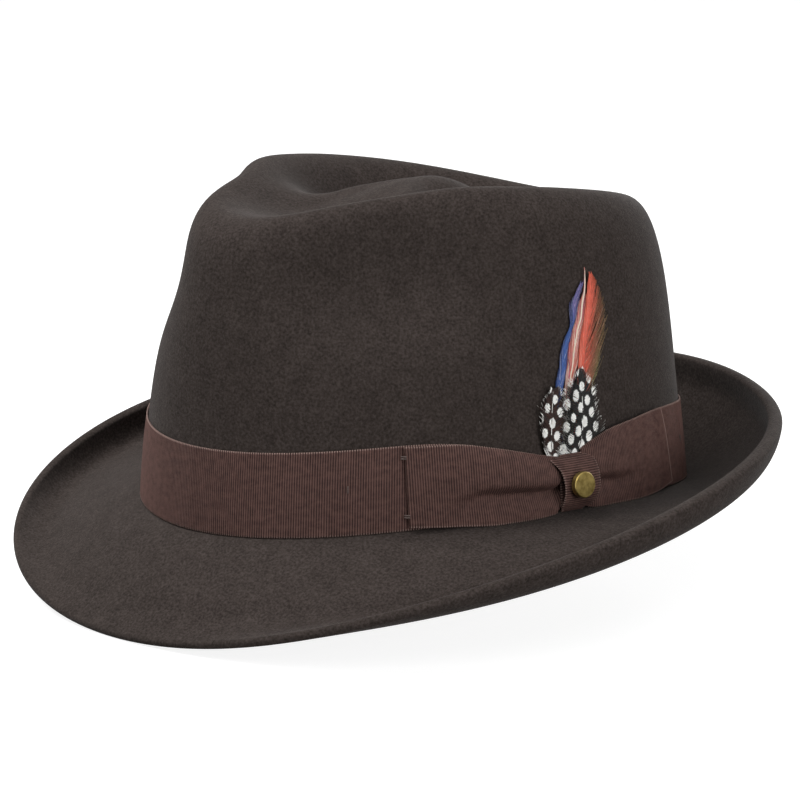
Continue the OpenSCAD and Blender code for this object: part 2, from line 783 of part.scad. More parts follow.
module sweatband_bow() {
  reach = rear_bow_loop + ribbon_t;
  sagitta = reach * reach / (2 * (back_bend_r - sweat_in));
  bow_t = 2 * ribbon_t;
  centre = 2.4;
  color(ribbon_colour)
    on_wall(180, sweat_low + rear_bow_rise, -sweat_in - seat - sagitta - bow_t)
      rotate([0, 90, 0])
        linear_extrude(height = bow_t)
          rotate(90) {
            for (side = [-1, 1])
              translate([side * rear_bow_loop / 2, 0]) bow_lens();
            square([centre, rear_bow_h * 0.6], center = true);
          }
}

module lining_side() {
  low_up = lining_low / crown_mid_h;
  steps = [[low_up, shoulder(low_up)], for (i = [1 : wall_rings]) crown_steps[i]];
  color(satin_colour)
    loft([
      for (th = angles)
        concat(
          [for (s = steps) crown(th, s[0], s[1], -lining_in)],
          [for (s = reversed(steps)) crown(th, s[0], s[1], -lining_out)]
        )
    ], closed = true);
}

module lining_tip() {
  seam_out = shoulder_mid - seat / half_w;
  steps = concat(
    [[shoulder(seam_out), seam_out]],
    [for (i = [wall_rings + 1 : len(crown_steps) - 1]) crown_steps[i]]
  );
  color(satin_colour)
    lathe(
      concat(
        reversed([for (s = steps) [for (th = angles) crown(th, s[0], s[1], -lining_in)]]),
        [for (s = steps) [for (th = angles) crown(th, s[0], s[1], -lining_out)]]
      ),
      crown(0, 1, 0, -lining_in), crown(0, 1, 0, -lining_out)
    );
}

module lining_piping() {
  drop = lining_in + seat + piping_d / 2;
  color(satin_colour)
    cord_hoop([for (th = angles) crown(th, shoulder_mid, shoulder_mid, -drop)], piping_d);
}

felt_body();
hat_band();
tack_stitches();
bow_loop();
bow_tail();
bow_knot();
stud_head();
stud_post();
stud_clutch();
guinea_feather_front();
guinea_feather_rear();
red_feather();
blue_feather();
olive_feather();
cream_feather();
feather_binding();
sweatband();
sweatband_reed();
sweatband_stitching();
sweatband_bow();
lining_side();
lining_tip();
lining_piping();
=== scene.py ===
"""Felt fedora: the looks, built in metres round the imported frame.

Sizes are in millimetres and repeat the part's own driving sizes. Angles round the hat are in degrees, from
the front (-Y) towards the wearer's left (+X), where the bow and feathers are. A place on the crown's wall is
given by its angle or its arc from the bow's knot, its height v above the brim break and its distance d off
the felt's face.
"""

import math

import bpy
import numpy as np
from mathutils import Matrix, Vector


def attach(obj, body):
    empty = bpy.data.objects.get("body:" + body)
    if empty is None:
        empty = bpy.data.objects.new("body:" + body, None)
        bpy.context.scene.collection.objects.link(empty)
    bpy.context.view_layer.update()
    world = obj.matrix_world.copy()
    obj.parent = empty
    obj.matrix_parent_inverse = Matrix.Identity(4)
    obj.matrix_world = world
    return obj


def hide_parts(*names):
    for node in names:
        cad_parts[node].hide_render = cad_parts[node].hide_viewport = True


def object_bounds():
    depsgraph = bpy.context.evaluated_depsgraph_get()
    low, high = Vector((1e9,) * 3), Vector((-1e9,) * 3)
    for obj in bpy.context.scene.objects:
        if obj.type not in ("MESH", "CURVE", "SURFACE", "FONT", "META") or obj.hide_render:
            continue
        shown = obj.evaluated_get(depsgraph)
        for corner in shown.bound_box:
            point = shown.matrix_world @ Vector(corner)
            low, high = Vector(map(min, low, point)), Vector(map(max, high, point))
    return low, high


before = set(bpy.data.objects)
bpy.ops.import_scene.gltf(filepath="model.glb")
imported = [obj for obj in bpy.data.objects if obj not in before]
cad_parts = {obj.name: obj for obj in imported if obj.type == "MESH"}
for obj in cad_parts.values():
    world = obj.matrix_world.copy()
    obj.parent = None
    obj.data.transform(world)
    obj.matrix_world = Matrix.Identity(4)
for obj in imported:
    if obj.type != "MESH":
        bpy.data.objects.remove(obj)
cad_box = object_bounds()

MM = 0.001
scene = bpy.context.scene

# Head opening
HEAD_LENGTH = 204.0
HEAD_WIDTH = 169.0
FELT_T = 3.0
BREAK_RISE = 8.6

# Crown
CROWN_FRONT_H = 137.0
CROWN_MID_H = 120.0
CROWN_BACK_H = 122.0
LEAN_FRONT = 8.0
LEAN_BACK = 16.5
LEAN_SIDE = 9.5
SHOULDER_POWER = 6.4

# Crease along the crown, and the dome that stands up in it
CREASE_DEPTH = 35.5
CREASE_DOME = 29.0
CREASE_HALF_W = 63.5
CREASE_BEHIND = 6.0
CREASE_FRONT = 129.0
CREASE_BACK = 92.5
CREASE_TEAR = 0.13
CREASE_FLOOR = 0.35
DOME_SHARE = 0.73
CREASE_START = 0.6
CREASE_FULL = 0.9

# Pinches at the front of the crown, and the ridge's lift over them
PINCH_DEPTH = 16.0
PINCH_ANGLE = 47.0
PINCH_SPREAD = 26.0
PINCH_HEIGHT = 111.5
PINCH_FADE = 44.5
HOLLOW_DEPTH = 6.0
HOLLOW_HEIGHT = 84.0
HOLLOW_FADE = 16.0
RIDGE_LIFT = 7.5
LIFT_SPREAD = 22.0

# Brim, at the front, front quarters, sides, rear quarters and back
BRIM_W = (46.0, 52.0, 54.0, 43.0, 46.0)
BRIM_SLOPE = (-36.0, -23.0, -8.0, 4.0, 18.0)
BRIM_BEND = (-46.0, -34.0, 2.0, 45.0, 64.0)
BRIM_EDGE = (-37.0, 36.0, 90.0, 83.0, 87.0)
BRIM_CURL_W = 15.0
# Rolled lip: what it adds to the felt on its inner side, and the station where it begins
RIM_ROLL = (0.0, 0.7, 2.4, 2.2, 2.2)
RIM_ROLL_START = 1.3

# Ribbon, its ribs and the bow
RIBBON_W = 28.4
RIBBON_T = 0.6
RIBBON_LIFT = 0.6
BAND_DIP = 12.0
BAND_DIP_SPREAD = 31.0
RIB_PITCH = 0.88
RIB_H = 0.16
SEAT = 0.2
THREAD_D = 0.5
TACK_LEN = 2.4
KNOT_ANGLE = 84.4
KNOT_H = 18.4
KNOT_DEPTH = 5.0
LOOP_LEN = 61.2
LOOP_SLANT = 2.0
TAIL_LEN = 56.5
TAIL_SLANT = 5.0
CLUTCH_D = 4.4

# Feathers
SHAFT_T = 0.4
FEATHER_GAP = 0.1
QUILL_ROOM = 0.3
QUILL_LOW = 4.0
QUILL_PITCH = 0.9
BINDING_LEN = 5.0
BINDING_WALL = 0.2
BINDING_GAP = 0.05

# Sweatband and lining
SWEAT_H = 36.0
SWEAT_T = 1.0
REED_D = 2.2
STITCH_N = 84
STITCH_LEN = 3.4
REAR_BOW_LOOP = 10.0
REAR_BOW_H = 6.5
LINING_T = 0.4
LINING_GAP = 0.8
LINING_LOW = 6.0
PIPING_D = 1.6

HALF_L = HEAD_LENGTH / 2 + FELT_T
HALF_W = HEAD_WIDTH / 2 + FELT_T
PINCH_INNER = HALF_W * 0.7
LIFT_INNER = HALF_W * 0.6
SHOULDER_MID = 0.5 ** (1 / SHOULDER_POWER)

BAND_OUT = SEAT + RIBBON_T
QUILL_IN = BAND_OUT + QUILL_ROOM
LAYER_PITCH = SHAFT_T + FEATHER_GAP
QUILL_DEEP = 2 * LAYER_PITCH + SHAFT_T + 2 * BINDING_GAP
QUILL_D = QUILL_IN + BINDING_WALL + BINDING_GAP + SHAFT_T / 2
BOW_IN = QUILL_IN + QUILL_DEEP + 2 * BINDING_WALL + QUILL_ROOM
KNOT_FRONT = BOW_IN + KNOT_DEPTH
KNOT_R = (KNOT_H**2 / 4 + KNOT_DEPTH**2) / (2 * KNOT_DEPTH)
KNOT_MID_V = KNOT_H / 2 - SEAT
GATHER_ARC = CLUTCH_D / 2 + 1.2
LINING_OUT = FELT_T + LINING_GAP
LINING_IN = LINING_OUT + LINING_T
SWEAT_OUT = LINING_IN + SEAT
SWEAT_IN = SWEAT_OUT + SWEAT_T
REED_MID = SWEAT_OUT + REED_D / 2
SWEAT_LOW = REED_D / 2 + SEAT


def ease(q):
    k = np.clip(q, 0, 1)
    return k * k * (3 - 2 * k)


def bell(q):
    return np.exp(-q * q)


def mix(a, b, k):
    return a + (b - a) * k


def through(x, points):
    """Smooth curve through points (place, value) that doesn't overshoot them."""
    xs, ys = np.array(points, float).T
    step = np.diff(xs)
    rise = np.diff(ys) / step
    before, after = rise[:-1], rise[1:]
    inner = np.where(before * after > 0, 2 * before * after / (before + after + 1e-12), 0)
    tilt = np.concatenate([rise[:1], inner, rise[-1:]])
    i = np.clip(np.searchsorted(xs, x) - 1, 0, len(step) - 1)
    t = np.clip((x - xs[i]) / step[i], 0, 1)
    start = (1 + 2 * t) * ys[i] + t * step[i] * tilt[i]
    end = (3 - 2 * t) * ys[i + 1] - (1 - t) * step[i] * tilt[i + 1]
    return (1 - t) ** 2 * start + t**2 * end


def half_turn(th):
    return th - 360 * np.round(th / 360)


def sin(deg):
    return np.sin(np.radians(deg))


def cos(deg):
    return np.cos(np.radians(deg))


def angles(steps):
    """Even steps round the hat."""
    return np.arange(steps) * 360 / steps


def around(values, th):
    """Cosine series through five values spaced 45 degrees apart from the front to the back."""
    ends = (0.5, 1, 1, 1, 0.5)
    series = [
        ends[i] / 2 * sum(ends[k] * v * cos(45 * k * i) for k, v in enumerate(values)) for i in range(5)
    ]
    return sum(c * cos(i * th) for i, c in enumerate(series))


def break_z(th):
    return BREAK_RISE * sin(th) ** 2


def crown_h(y):
    """Height of the uncreased crown, from y = -1 at the front to 1 at the back."""
    tilt = (CROWN_BACK_H - CROWN_FRONT_H) / 2
    sag = (CROWN_BACK_H + CROWN_FRONT_H) / 2 - CROWN_MID_H
    return CROWN_MID_H + tilt * y + sag * y * y


def shoulder(k):
    """How far in the crown is at a share of its height, and the other way round."""
    return (1 - np.clip(k, 0, 1) ** SHOULDER_POWER) ** (1 / SHOULDER_POWER)


def crease(x, y):
    """Depth of the teardrop crease over a point of the crown."""
    along = y - CREASE_BEHIND
    back = np.clip(along / np.where(along < 0, CREASE_FRONT, CREASE_BACK), -1, 1)
    across = x / (CREASE_HALF_W * (1 + CREASE_TEAR * back))
    q = np.hypot(across, back)
    floor = CREASE_DEPTH * (1 - ease((q - CREASE_FLOOR) / (1 - CREASE_FLOOR)))
    return floor - CREASE_DOME * (1 - ease(q / DOME_SHARE))


def at_pinches(th, spread):
    return sum(bell(half_turn(th - side * PINCH_ANGLE) / spread) for side in (-1, 1))


def crown(th, up, out, d):
    """Point of the crown at a share of its height (up) and half width (out), d outside the felt's face."""
    lean_end = (LEAN_FRONT + LEAN_BACK) / 2 + (LEAN_FRONT - LEAN_BACK) / 2 * cos(th)
    x = out * (HALF_W + d - up * LEAN_SIDE) * sin(th)
    y = -out * (HALF_L + d - up * lean_end) * cos(th)
    z = break_z(th) * (1 - up) + (crown_h(y / HALF_L) + d) * up
    r = np.maximum(np.hypot(x, y), 0.001)
    lift = RIDGE_LIFT * at_pinches(th, LIFT_SPREAD) * ease(r / LIFT_INNER)
    push = PINCH_DEPTH * bell((z - PINCH_HEIGHT) / PINCH_FADE)
    push = push + HOLLOW_DEPTH * bell((z - HOLLOW_HEIGHT) / HOLLOW_FADE)
    push = push * at_pinches(th, PINCH_SPREAD) * ease(r / PINCH_INNER)
    x, y = x * (1 - push / r), y * (1 - push / r)
    z = z + (lift - crease(x, y)) * ease((up - CREASE_START) / (CREASE_FULL - CREASE_START))
    return np.stack(np.broadcast_arrays(x, y, z), -1)


def wall(th, v, d):
    """Point of the crown's wall."""
    up = v / (crown_h(-cos(th)) - break_z(th))
    return crown(th, up, shoulder(up), d)


def side_angle(arc):
    """Angle reached by an arc of the crown's side, counted from the knot."""
    return KNOT_ANGLE + np.degrees(arc / HALF_L)


def side_arc(th):
    return np.radians(half_turn(th - KNOT_ANGLE)) * HALF_L


def outward(th):
    x, y = sin(th) / HALF_W, -cos(th) / HALF_L
    n = np.hypot(x, y)
    return np.stack(np.broadcast_arrays(x / n, y / n, 0 * n), -1)


def arc_run(w, a, b, s):
    """Run out and up along an arc of length w whose slope turns from a to b degrees, at the share s."""
    turn = np.radians(b - a)
    turn = np.where(np.abs(turn) < 1e-4, 1e-4, turn)
    now = np.radians(a) + turn * s
    start = np.radians(a)
    return w / turn * (np.sin(now) - np.sin(start)), w / turn * (np.cos(start) - np.cos(now))


def brim(th, station, drop, more=0.0):
    """Point of the brim below its upper face by drop and past its edge by more. The station is 0 at the
    break, 1 where the curl begins and 2 at the edge."""
    a, b, c = (around(v, th) for v in (BRIM_SLOPE, BRIM_BEND, BRIM_EDGE))
    s1, s2 = np.minimum(1, station), np.maximum(0, station - 1)
    tilt = np.where(station < 1, mix(a, b, s1), mix(b, c, s2))
    flat = arc_run(around(BRIM_W, th) - BRIM_CURL_W, a, b, s1)
    curl = arc_run(BRIM_CURL_W, b, c, s2)
    out = flat[0] + curl[0] + drop * sin(tilt) + more * cos(tilt)
    up = flat[1] + curl[1] - drop * cos(tilt) + more * sin(tilt)
    foot = np.stack(np.broadcast_arrays(HALF_W * sin(th), -HALF_L * cos(th), break_z(th) + up), -1)
    return foot + np.asarray(out)[..., None] * outward(th)


# Meshes. A part of a mesh is (points in mm, list of face arrays, {attribute: one vector a point}).


def grid_faces(nu, nv, wrap_u=False, wrap_v=False):
    i, j = np.indices((nu - (not wrap_u), nv - (not wrap_v)))
    corners = [(i, j), ((i + 1) % nu, j), ((i + 1) % nu, (j + 1) % nv), (i, (j + 1) % nv)]
    return np.stack([a * nv + b for a, b in corners], -1).reshape(-1, 4)


def unit(v):
    return v / np.maximum(np.linalg.norm(v, axis=-1, keepdims=True), 1e-12)


def slope(grid, axis, wrap=False):
    """Central differences along one axis of a grid of points."""
    if wrap:
        return np.roll(grid, -1, axis) - np.roll(grid, 1, axis)
    return np.gradient(grid, axis=axis)


def skin(front, back, wrap=False, **notes):
    """Closed skin between the front and back grids of a sheet, which may be a ring along its first axis."""
    nu, nv = front.shape[:2]
    n = nu * nv
    f = np.arange(n).reshape(nu, nv)
    if wrap:
        f = np.concatenate([f, f[:1]])
    faces = [grid_faces(nu, nv, wrap), grid_faces(nu, nv, wrap)[:, ::-1] + n]
    for path in (f[:, 0], f[::-1, -1]) if wrap else (f[:, 0], f[::-1, -1], f[0, ::-1], f[-1]):
        faces.append(np.stack([path[1:], path[:-1], path[:-1] + n, path[1:] + n], -1))
    points = np.concatenate([front.reshape(-1, 3), back.reshape(-1, 3)])
    return points, faces, {k: np.concatenate([v.reshape(-1, 3)] * 2) for k, v in notes.items()}


def tube(path, radius, side, sides=8, wrap=False):
    """Round tube along a path. The vectors of side point away from the path, roughly across it."""
    n = len(path)
    along = unit(slope(path, 0, wrap))
    out = unit(np.cross(along, np.cross(np.broadcast_to(side, path.shape), along)))
    over = np.cross(along, out)
    radius = np.broadcast_to(np.asarray(radius, float), (n,))[:, None, None]
    turn = angles(sides)[:, None]
    ring = path[:, None] + radius * (cos(turn) * out[:, None] + sin(turn) * over[:, None])
    faces = [grid_faces(n, sides, wrap, True)[:, ::-1]]
    if not wrap:
        cap = np.arange(sides)
        faces += [cap[None], cap[None, ::-1] + (n - 1) * sides]
    return ring.reshape(-1, 3), faces, {}


def joined(parts):
    """One mesh part from several that have the same attributes."""
    shift = np.cumsum([0] + [len(p[0]) for p in parts])
    points = np.concatenate([p[0] for p in parts])
    faces = [f + s for (_, group, _), s in zip(parts, shift) for f in group]
    notes = {k: np.concatenate([p[2][k] for p in parts]) for k in parts[0][2]}
    return points, faces, notes


def add(name, data):
    obj = bpy.data.objects.new(name, data)
    scene.collection.objects.link(obj)
    return obj


def mesh_object(name, part, material):
    points, faces, notes = part
    mesh = bpy.data.meshes.new(name)
    mesh.from_pydata((points * MM).tolist(), [], [f for group in faces for f in group.tolist()])
    for key, values in notes.items():
        layer = mesh.attributes.new(key, "FLOAT_VECTOR", "POINT")
        layer.data.foreach_set("vector", np.ascontiguousarray(values, dtype=np.float32).ravel())
    mesh.shade_smooth()
    mesh.materials.append(material)
    return add(name, mesh)


def dress(name, part, material, body, slot, *nodes):
    """Piece that rides on a body, stands for its nodes, which it hides, and takes the given material. The
    slot is not used.
    """
    obj = mesh_object(name, part, material)
    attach(obj, body)
    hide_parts(*nodes)
    return obj


# Materials


class Signal:
    """Output of a shader node. Arithmetic on it adds nodes to its tree."""

    def __init__(self, socket):
        self.socket = socket
        self.tree = socket.id_data

    def __add__(self, other):
        return calc("ADD", self, other)

    def __sub__(self, other):
        return calc("SUBTRACT", self, other)

    def __mul__(self, other):
        return calc("MULTIPLY", self, other)

    def __truediv__(self, other):
        return calc("DIVIDE", self, other)


def put(tree, kind, inputs, out=0, **settings):
    """Output of a new shader node. An input is a value or another node's output."""
    node = tree.nodes.new("ShaderNode" + kind)
    for key, value in settings.items():
        setattr(node, key, value)
    for key, value in inputs.items():
        if isinstance(value, Signal):
            tree.links.new(value.socket, node.inputs[key])
        else:
            node.inputs[key].default_value = value
    return Signal(node.outputs[out])


def calc(operation, a, b=0.0):
    return put(a.tree, "Math", {0: a, 1: b}, operation=operation)


def span(value, low, high):
    """Share from 0 to 1 of a value between low and high, smoothed; low may be the larger."""
    flip = low > high
    inputs = {"Value": value, "From Min": min(low, high), "From Max": max(low, high)}
    inputs.update({"To Min": float(flip), "To Max": float(not flip)})
    return put(value.tree, "MapRange", inputs, interpolation_type="SMOOTHSTEP")


def remap(value, low, high):
    """Value from 0 to 1 carried over to the range from low to high."""
    return put(value.tree, "MapRange", {"Value": value, "To Min": low, "To Max": high})


def noise(vector, scale, detail=3.0, rough=0.55, warp=0.0):
    """Noise with this many cells to a unit of the vector: a metre of object_place or a mm of a note."""
    inputs = {"Vector": vector, "Scale": scale, "Detail": detail, "Roughness": rough, "Distortion": warp}
    return put(vector.tree, "TexNoise", inputs, "Fac")


def ramp(factor, *stops):
    colour = put(factor.tree, "ValToRGB", {"Fac": factor}, "Color")
    elements = colour.socket.node.color_ramp.elements
    for element, (place, tint) in zip((elements[0], elements[1]), (stops[0], stops[-1])):
        element.position = place
        element.color = (*tint, 1)
    for place, tint in stops[1:-1]:
        elements.new(place).color = (*tint, 1)
    return colour


def blend(factor, a, b):
    """Colour between two colours."""
    a, b = (c if isinstance(c, Signal) else (*c, 1) for c in (a, b))
    return put(factor.tree, "Mix", {0: factor, 6: a, 7: b}, 2, data_type="RGBA")


def bump(height, depth_mm, normal=None):
    inputs = {"Height": height, "Distance": depth_mm * MM}
    if normal:
        inputs["Normal"] = normal
    return put(height.tree, "Bump", inputs, "Normal")


def pair(x, y):
    return put(x.tree, "CombineXYZ", {0: x, 1: y})


def split(vector):
    return [put(vector.tree, "SeparateXYZ", {0: vector}, k) for k in range(3)]


def note(tree, name):
    """A point's attribute, whole and as three values."""
    vector = put(tree, "Attribute", {}, "Vector", attribute_name=name)
    return vector, split(vector)


def object_place(tree):
    return put(tree, "TexCoord", {}, "Object")


def paint(name, sockets):
    """New material, with these values on its shader's sockets, and its tree."""
    material = bpy.data.materials.new(name)
    material.use_nodes = True
    wire(material, sockets)
    return material, material.node_tree


def wire(material, sockets):
    """Put values and node outputs on the sockets of a material's shader."""
    shader = material.node_tree.nodes["Principled BSDF"]
    for key, value in sockets.items():
        if isinstance(value, Signal):
            value.tree.links.new(value.socket, shader.inputs[key])
        else:
            shader.inputs[key].default_value = value


def coat(material, colour, rough, normal):
    wire(material, {"Base Color": colour, "Roughness": rough, "Normal": normal})
    return material


# Felt: tones by its grain, and the share of them that its soft patches have
FELT_TONES = (
    (0.34, (0.019, 0.0148, 0.0130)), (0.5, (0.0345, 0.0272, 0.0243)), (0.66, (0.055, 0.044, 0.040)),
)
FELT_PATCHES = 0.18


def felt_paint():
    sockets = {"Sheen Weight": 0.07, "Sheen Roughness": 0.35, "Specular IOR Level": 0.05}
    material, tree = paint("felt", sockets)
    place = object_place(tree)
    grain = noise(place, 1100, 4, 0.62)
    fibre = noise(place, 2600, 3, 0.6, 1.5)
    tone = grain * (1 - FELT_PATCHES) + noise(place, 160, 3, 0.5) * FELT_PATCHES
    normal = bump(grain, 0.12, bump(fibre, 0.06))
    return coat(material, ramp(tone, *FELT_TONES), remap(fibre, 0.82, 1.0), normal)


# Grosgrain: pitch of its threads, the painted shade in the ribs' valleys with lighter crests, and its pale
# edge ticks by reach and rib
WEFT_PITCH = 0.28
RIB_PAINTED_SHADE = 0.34
TICK_REACH = (0.75, 0.2)
TICK_RIB = (-0.2, 0.5)


def ribbon_paint(name, dark, light, edge_colour):
    """Grosgrain. Its points note the place along the ribbon, across it and in from the nearest edge."""
    sockets = {"Sheen Weight": 0.02, "Sheen Roughness": 0.35, "Specular IOR Level": 0.12}
    material, tree = paint(name, sockets)
    place, (along, across, inward) = note(tree, "weave")
    rib = calc("COSINE", along * (2 * math.pi / RIB_PITCH))
    weft = calc("COSINE", across * (2 * math.pi / WEFT_PITCH))
    uneven = noise(place, 0.35, 4, 0.6)
    # The ribs' valleys are painted darker and their crests lighter: painted shade and light on top of the
    # ribs' real relief
    body = ramp(rib * RIB_PAINTED_SHADE + uneven, (0.12, dark), (0.88, light))
    colour = blend(span(inward, *TICK_REACH) * span(rib, *TICK_RIB), body, edge_colour)
    normal = bump(weft, 0.02, bump(noise(place, 5.0), 0.05))
    return coat(material, colour, remap(uneven, 0.5, 0.72), normal)


def cloth_paint(name, dark, light, rough, fine, depth):
    """Close cloth, thread or cord with a mottled tone, and a grain of this fineness and depth in mm."""
    material, tree = paint(name, {"Sheen Weight": 0.1, "Specular IOR Level": 0.4})
    place = object_place(tree)
    grain = noise(place, fine, 4, 0.6)
    tone = grain * 0.5 + noise(place, 90, 4) * 0.5
    gloss = remap(tone, rough * 0.8, min(1, rough * 1.2))
    return coat(material, ramp(tone, (0.3, dark), (0.7, light)), gloss, bump(grain, depth))


def leather_paint():
    material, tree = paint("leather", {"Specular IOR Level": 0.45})
    place = object_place(tree)
    cells = put(tree, "TexVoronoi", {"Vector": place, "Scale": 1100.0}, feature="DISTANCE_TO_EDGE")
    patch = noise(place, 70, 5, 0.6)
    colour = ramp(patch, (0.3, (0.045, 0.02, 0.011)), (0.7, (0.105, 0.052, 0.028)))
    normal = bump(span(cells, 0.0, 0.25), 0.06, bump(noise(place, 400), 0.1))
    return coat(material, colour, remap(patch, 0.38, 0.6), normal)


def brass_paint():
    material, tree = paint("brass", {"Metallic": 1.0})
    place = object_place(tree)
    wear = noise(place, 420, 5, 0.65)
    scratch = noise(put(tree, "Mapping", {"Vector": place, "Scale": (1, 5, 0.6)}), 900, 3, 0.7)
    colour = ramp(wear, (0.3, (0.17, 0.12, 0.036)), (0.62, (0.38, 0.29, 0.10)))
    return coat(material, colour, remap(scratch, 0.22, 0.5), bump(wear, 0.05, bump(scratch, 0.015)))


# White spots: steps between them, half sizes, shift, range of sizes, raggedness and fading edge
SPOT_STEPS = ((-3.3, -2.7), (2.0, -4.7))
SPOT_HALF = (1.35, 1.85)
SPOT_SHIFT = 0.9
SPOT_SIZES = (0.85, 1.1)
SPOT_RAGGED = 0.18
SPOT_EDGE = (1.06, 0.9)
SPOT_WHITE = (0.97, 0.97, 0.94)
# Pale barb ends, heights where the down at the vane's foot fades out, and a barb's climb
WISP = (0.6, 0.59, 0.56)
DOWN_SPAN = (19.5, 16.5)
BARB_CLIMB = 4.5


def guinea_paint(name, dark, light):
    material, tree = paint(name, {"Sheen Weight": 0.02, "Specular IOR Level": 0.2})
    place, (_, height, chance) = note(tree, "plume")
    _, (_, along, _) = note(tree, "strand")
    (ax, ay), (bx, by) = SPOT_STEPS
    area = ax * by - ay * bx
    rows = ((by / area, -bx / area, 0), (-ay / area, ax / area, 0))
    counts = [put(tree, "VectorMath", {0: place, 1: row}, "Value", operation="DOT_PRODUCT") for row in rows]
    cell = pair(*(calc("FLOOR", c) for c in counts))
    luck = split(put(tree, "TexWhiteNoise", {"Vector": cell}, "Color"))
    part = [calc("FRACT", c) - 0.5 for c in counts]
    reach = []
    for k in (0, 1):
        run = part[0] * SPOT_STEPS[0][k] + part[1] * SPOT_STEPS[1][k]
        reach.append((run + (luck[k] - 0.5) * SPOT_SHIFT) / SPOT_HALF[k])
    far = put(tree, "VectorMath", {0: pair(*reach)}, "Value", operation="LENGTH")
    far = far / remap(luck[2], *SPOT_SIZES) + (chance - 0.5) * SPOT_RAGGED
    wisp = span(along, 0.8, 1.0) * span(chance, 0.35, 0.75)
    ground = blend(wisp, ramp(chance, (0.1, dark), (0.9, light)), WISP)
    down = span(height - along * BARB_CLIMB, *DOWN_SPAN) * span(chance, 0.25, 0.5)
    colour = blend(calc("MAXIMUM", span(far, *SPOT_EDGE), down), ground, SPOT_WHITE)
    return coat(material, colour, remap(chance, 0.45, 0.7), bump(noise(place, 6.0), 0.03))


def plume_paint(name, stops, pale, pale_share, by_chance=False, top=None):
    """Dyed barbs, whose colour runs across the vane, or from barb to barb, by these stops. A share of the
    barbs is pale, and where top is given the barbs change to its colour between its two heights."""
    material, tree = paint(name, {"Sheen Weight": 0.1, "Specular IOR Level": 0.4})
    place, (lateral, along, chance) = note(tree, "strand")
    tone = chance if by_chance else lateral * 0.5 + ((chance - 0.5) * 0.3 + 0.5)
    colour = ramp(tone, *stops)
    if top:
        low, high, other = top
        _, (_, height, _) = note(tree, "plume")
        colour = blend(span(height, low, high) * span(chance + lateral, 0.1, 0.7), colour, other)
    light = span(chance, 1.0 - pale_share, 1.02 - pale_share) * 0.75
    streak = remap(noise(pair(along, chance), 9.0), 0.2, 1.8)
    inputs = {"Color": blend(light, colour, pale), "Value": streak}
    colour = put(tree, "HueSaturation", inputs, "Color")
    return coat(material, colour, remap(chance, 0.4, 0.65), bump(noise(place, 20.0), 0.03))


FELT = felt_paint()
RIBBON = ribbon_paint("ribbon", (0.024, 0.0120, 0.0102), (0.125, 0.068, 0.058), (0.22, 0.15, 0.13))
THREAD = cloth_paint("thread", (0.028, 0.018, 0.015), (0.095, 0.062, 0.053), 0.7, 2500, 0.05)
BRASS = brass_paint()
GUINEA = guinea_paint("guinea", (0.006, 0.006, 0.006), (0.018, 0.016, 0.015))
GUINEA_BROWN = guinea_paint("guinea_brown", (0.007, 0.006, 0.006), (0.045, 0.020, 0.015))
LEATHER = leather_paint()
REED = cloth_paint("reed", (0.5, 0.46, 0.37), (0.72, 0.68, 0.58), 0.5, 900, 0.03)
SATIN = cloth_paint("satin", (0.095, 0.055, 0.033), (0.17, 0.105, 0.065), 0.35, 1800, 0.02)
RED = plume_paint(
    "red_barbs",
    (
        (0.25, (0.64, 0.14, 0.09)), (0.42, (0.62, 0.098, 0.055)), (0.54, (0.52, 0.075, 0.038)),
        (0.64, (0.29, 0.060, 0.026)), (0.82, (0.17, 0.062, 0.025)), (1.0, (0.17, 0.11, 0.04)),
    ),
    (0.70, 0.40, 0.30), 0.06,
)
BLUE = plume_paint(
    "blue_barbs", ((0.35, (0.010, 0.024, 0.10)), (0.5, (0.021, 0.078, 0.28)), (0.65, (0.036, 0.082, 0.28))),
    (0.34, 0.36, 0.50), 0.1, top=(60.0, 70.0, (0.16, 0.105, 0.25)),
)
OLIVE = plume_paint(
    "olive_barbs", ((0.3, (0.13, 0.06, 0.025)), (0.6, (0.20, 0.17, 0.06)), (1.0, (0.28, 0.27, 0.12))),
    (0.36, 0.34, 0.18), 0.12,
)
CREAM = plume_paint(
    "cream_barbs",
    (
        (0.0, (0.46, 0.08, 0.05)), (0.22, (0.55, 0.14, 0.10)), (0.43, (0.50, 0.20, 0.16)),
        (0.5, (0.70, 0.62, 0.50)), (0.56, (0.54, 0.30, 0.24)), (0.7, (0.50, 0.15, 0.12)),
        (0.86, (0.30, 0.09, 0.20)), (1.0, (0.42, 0.07, 0.05)),
    ),
    (0.80, 0.74, 0.66), 0.06, by_chance=True,
)


# Points round the felt, and rows up its wall, over its top, along its brim, its curl and its lip
FELT_STEPS = 360
WALL_ROWS, TOP_ROWS, BRIM_ROWS, CURL_ROWS, LIP_ROWS = 60, 80, 40, 32, 14


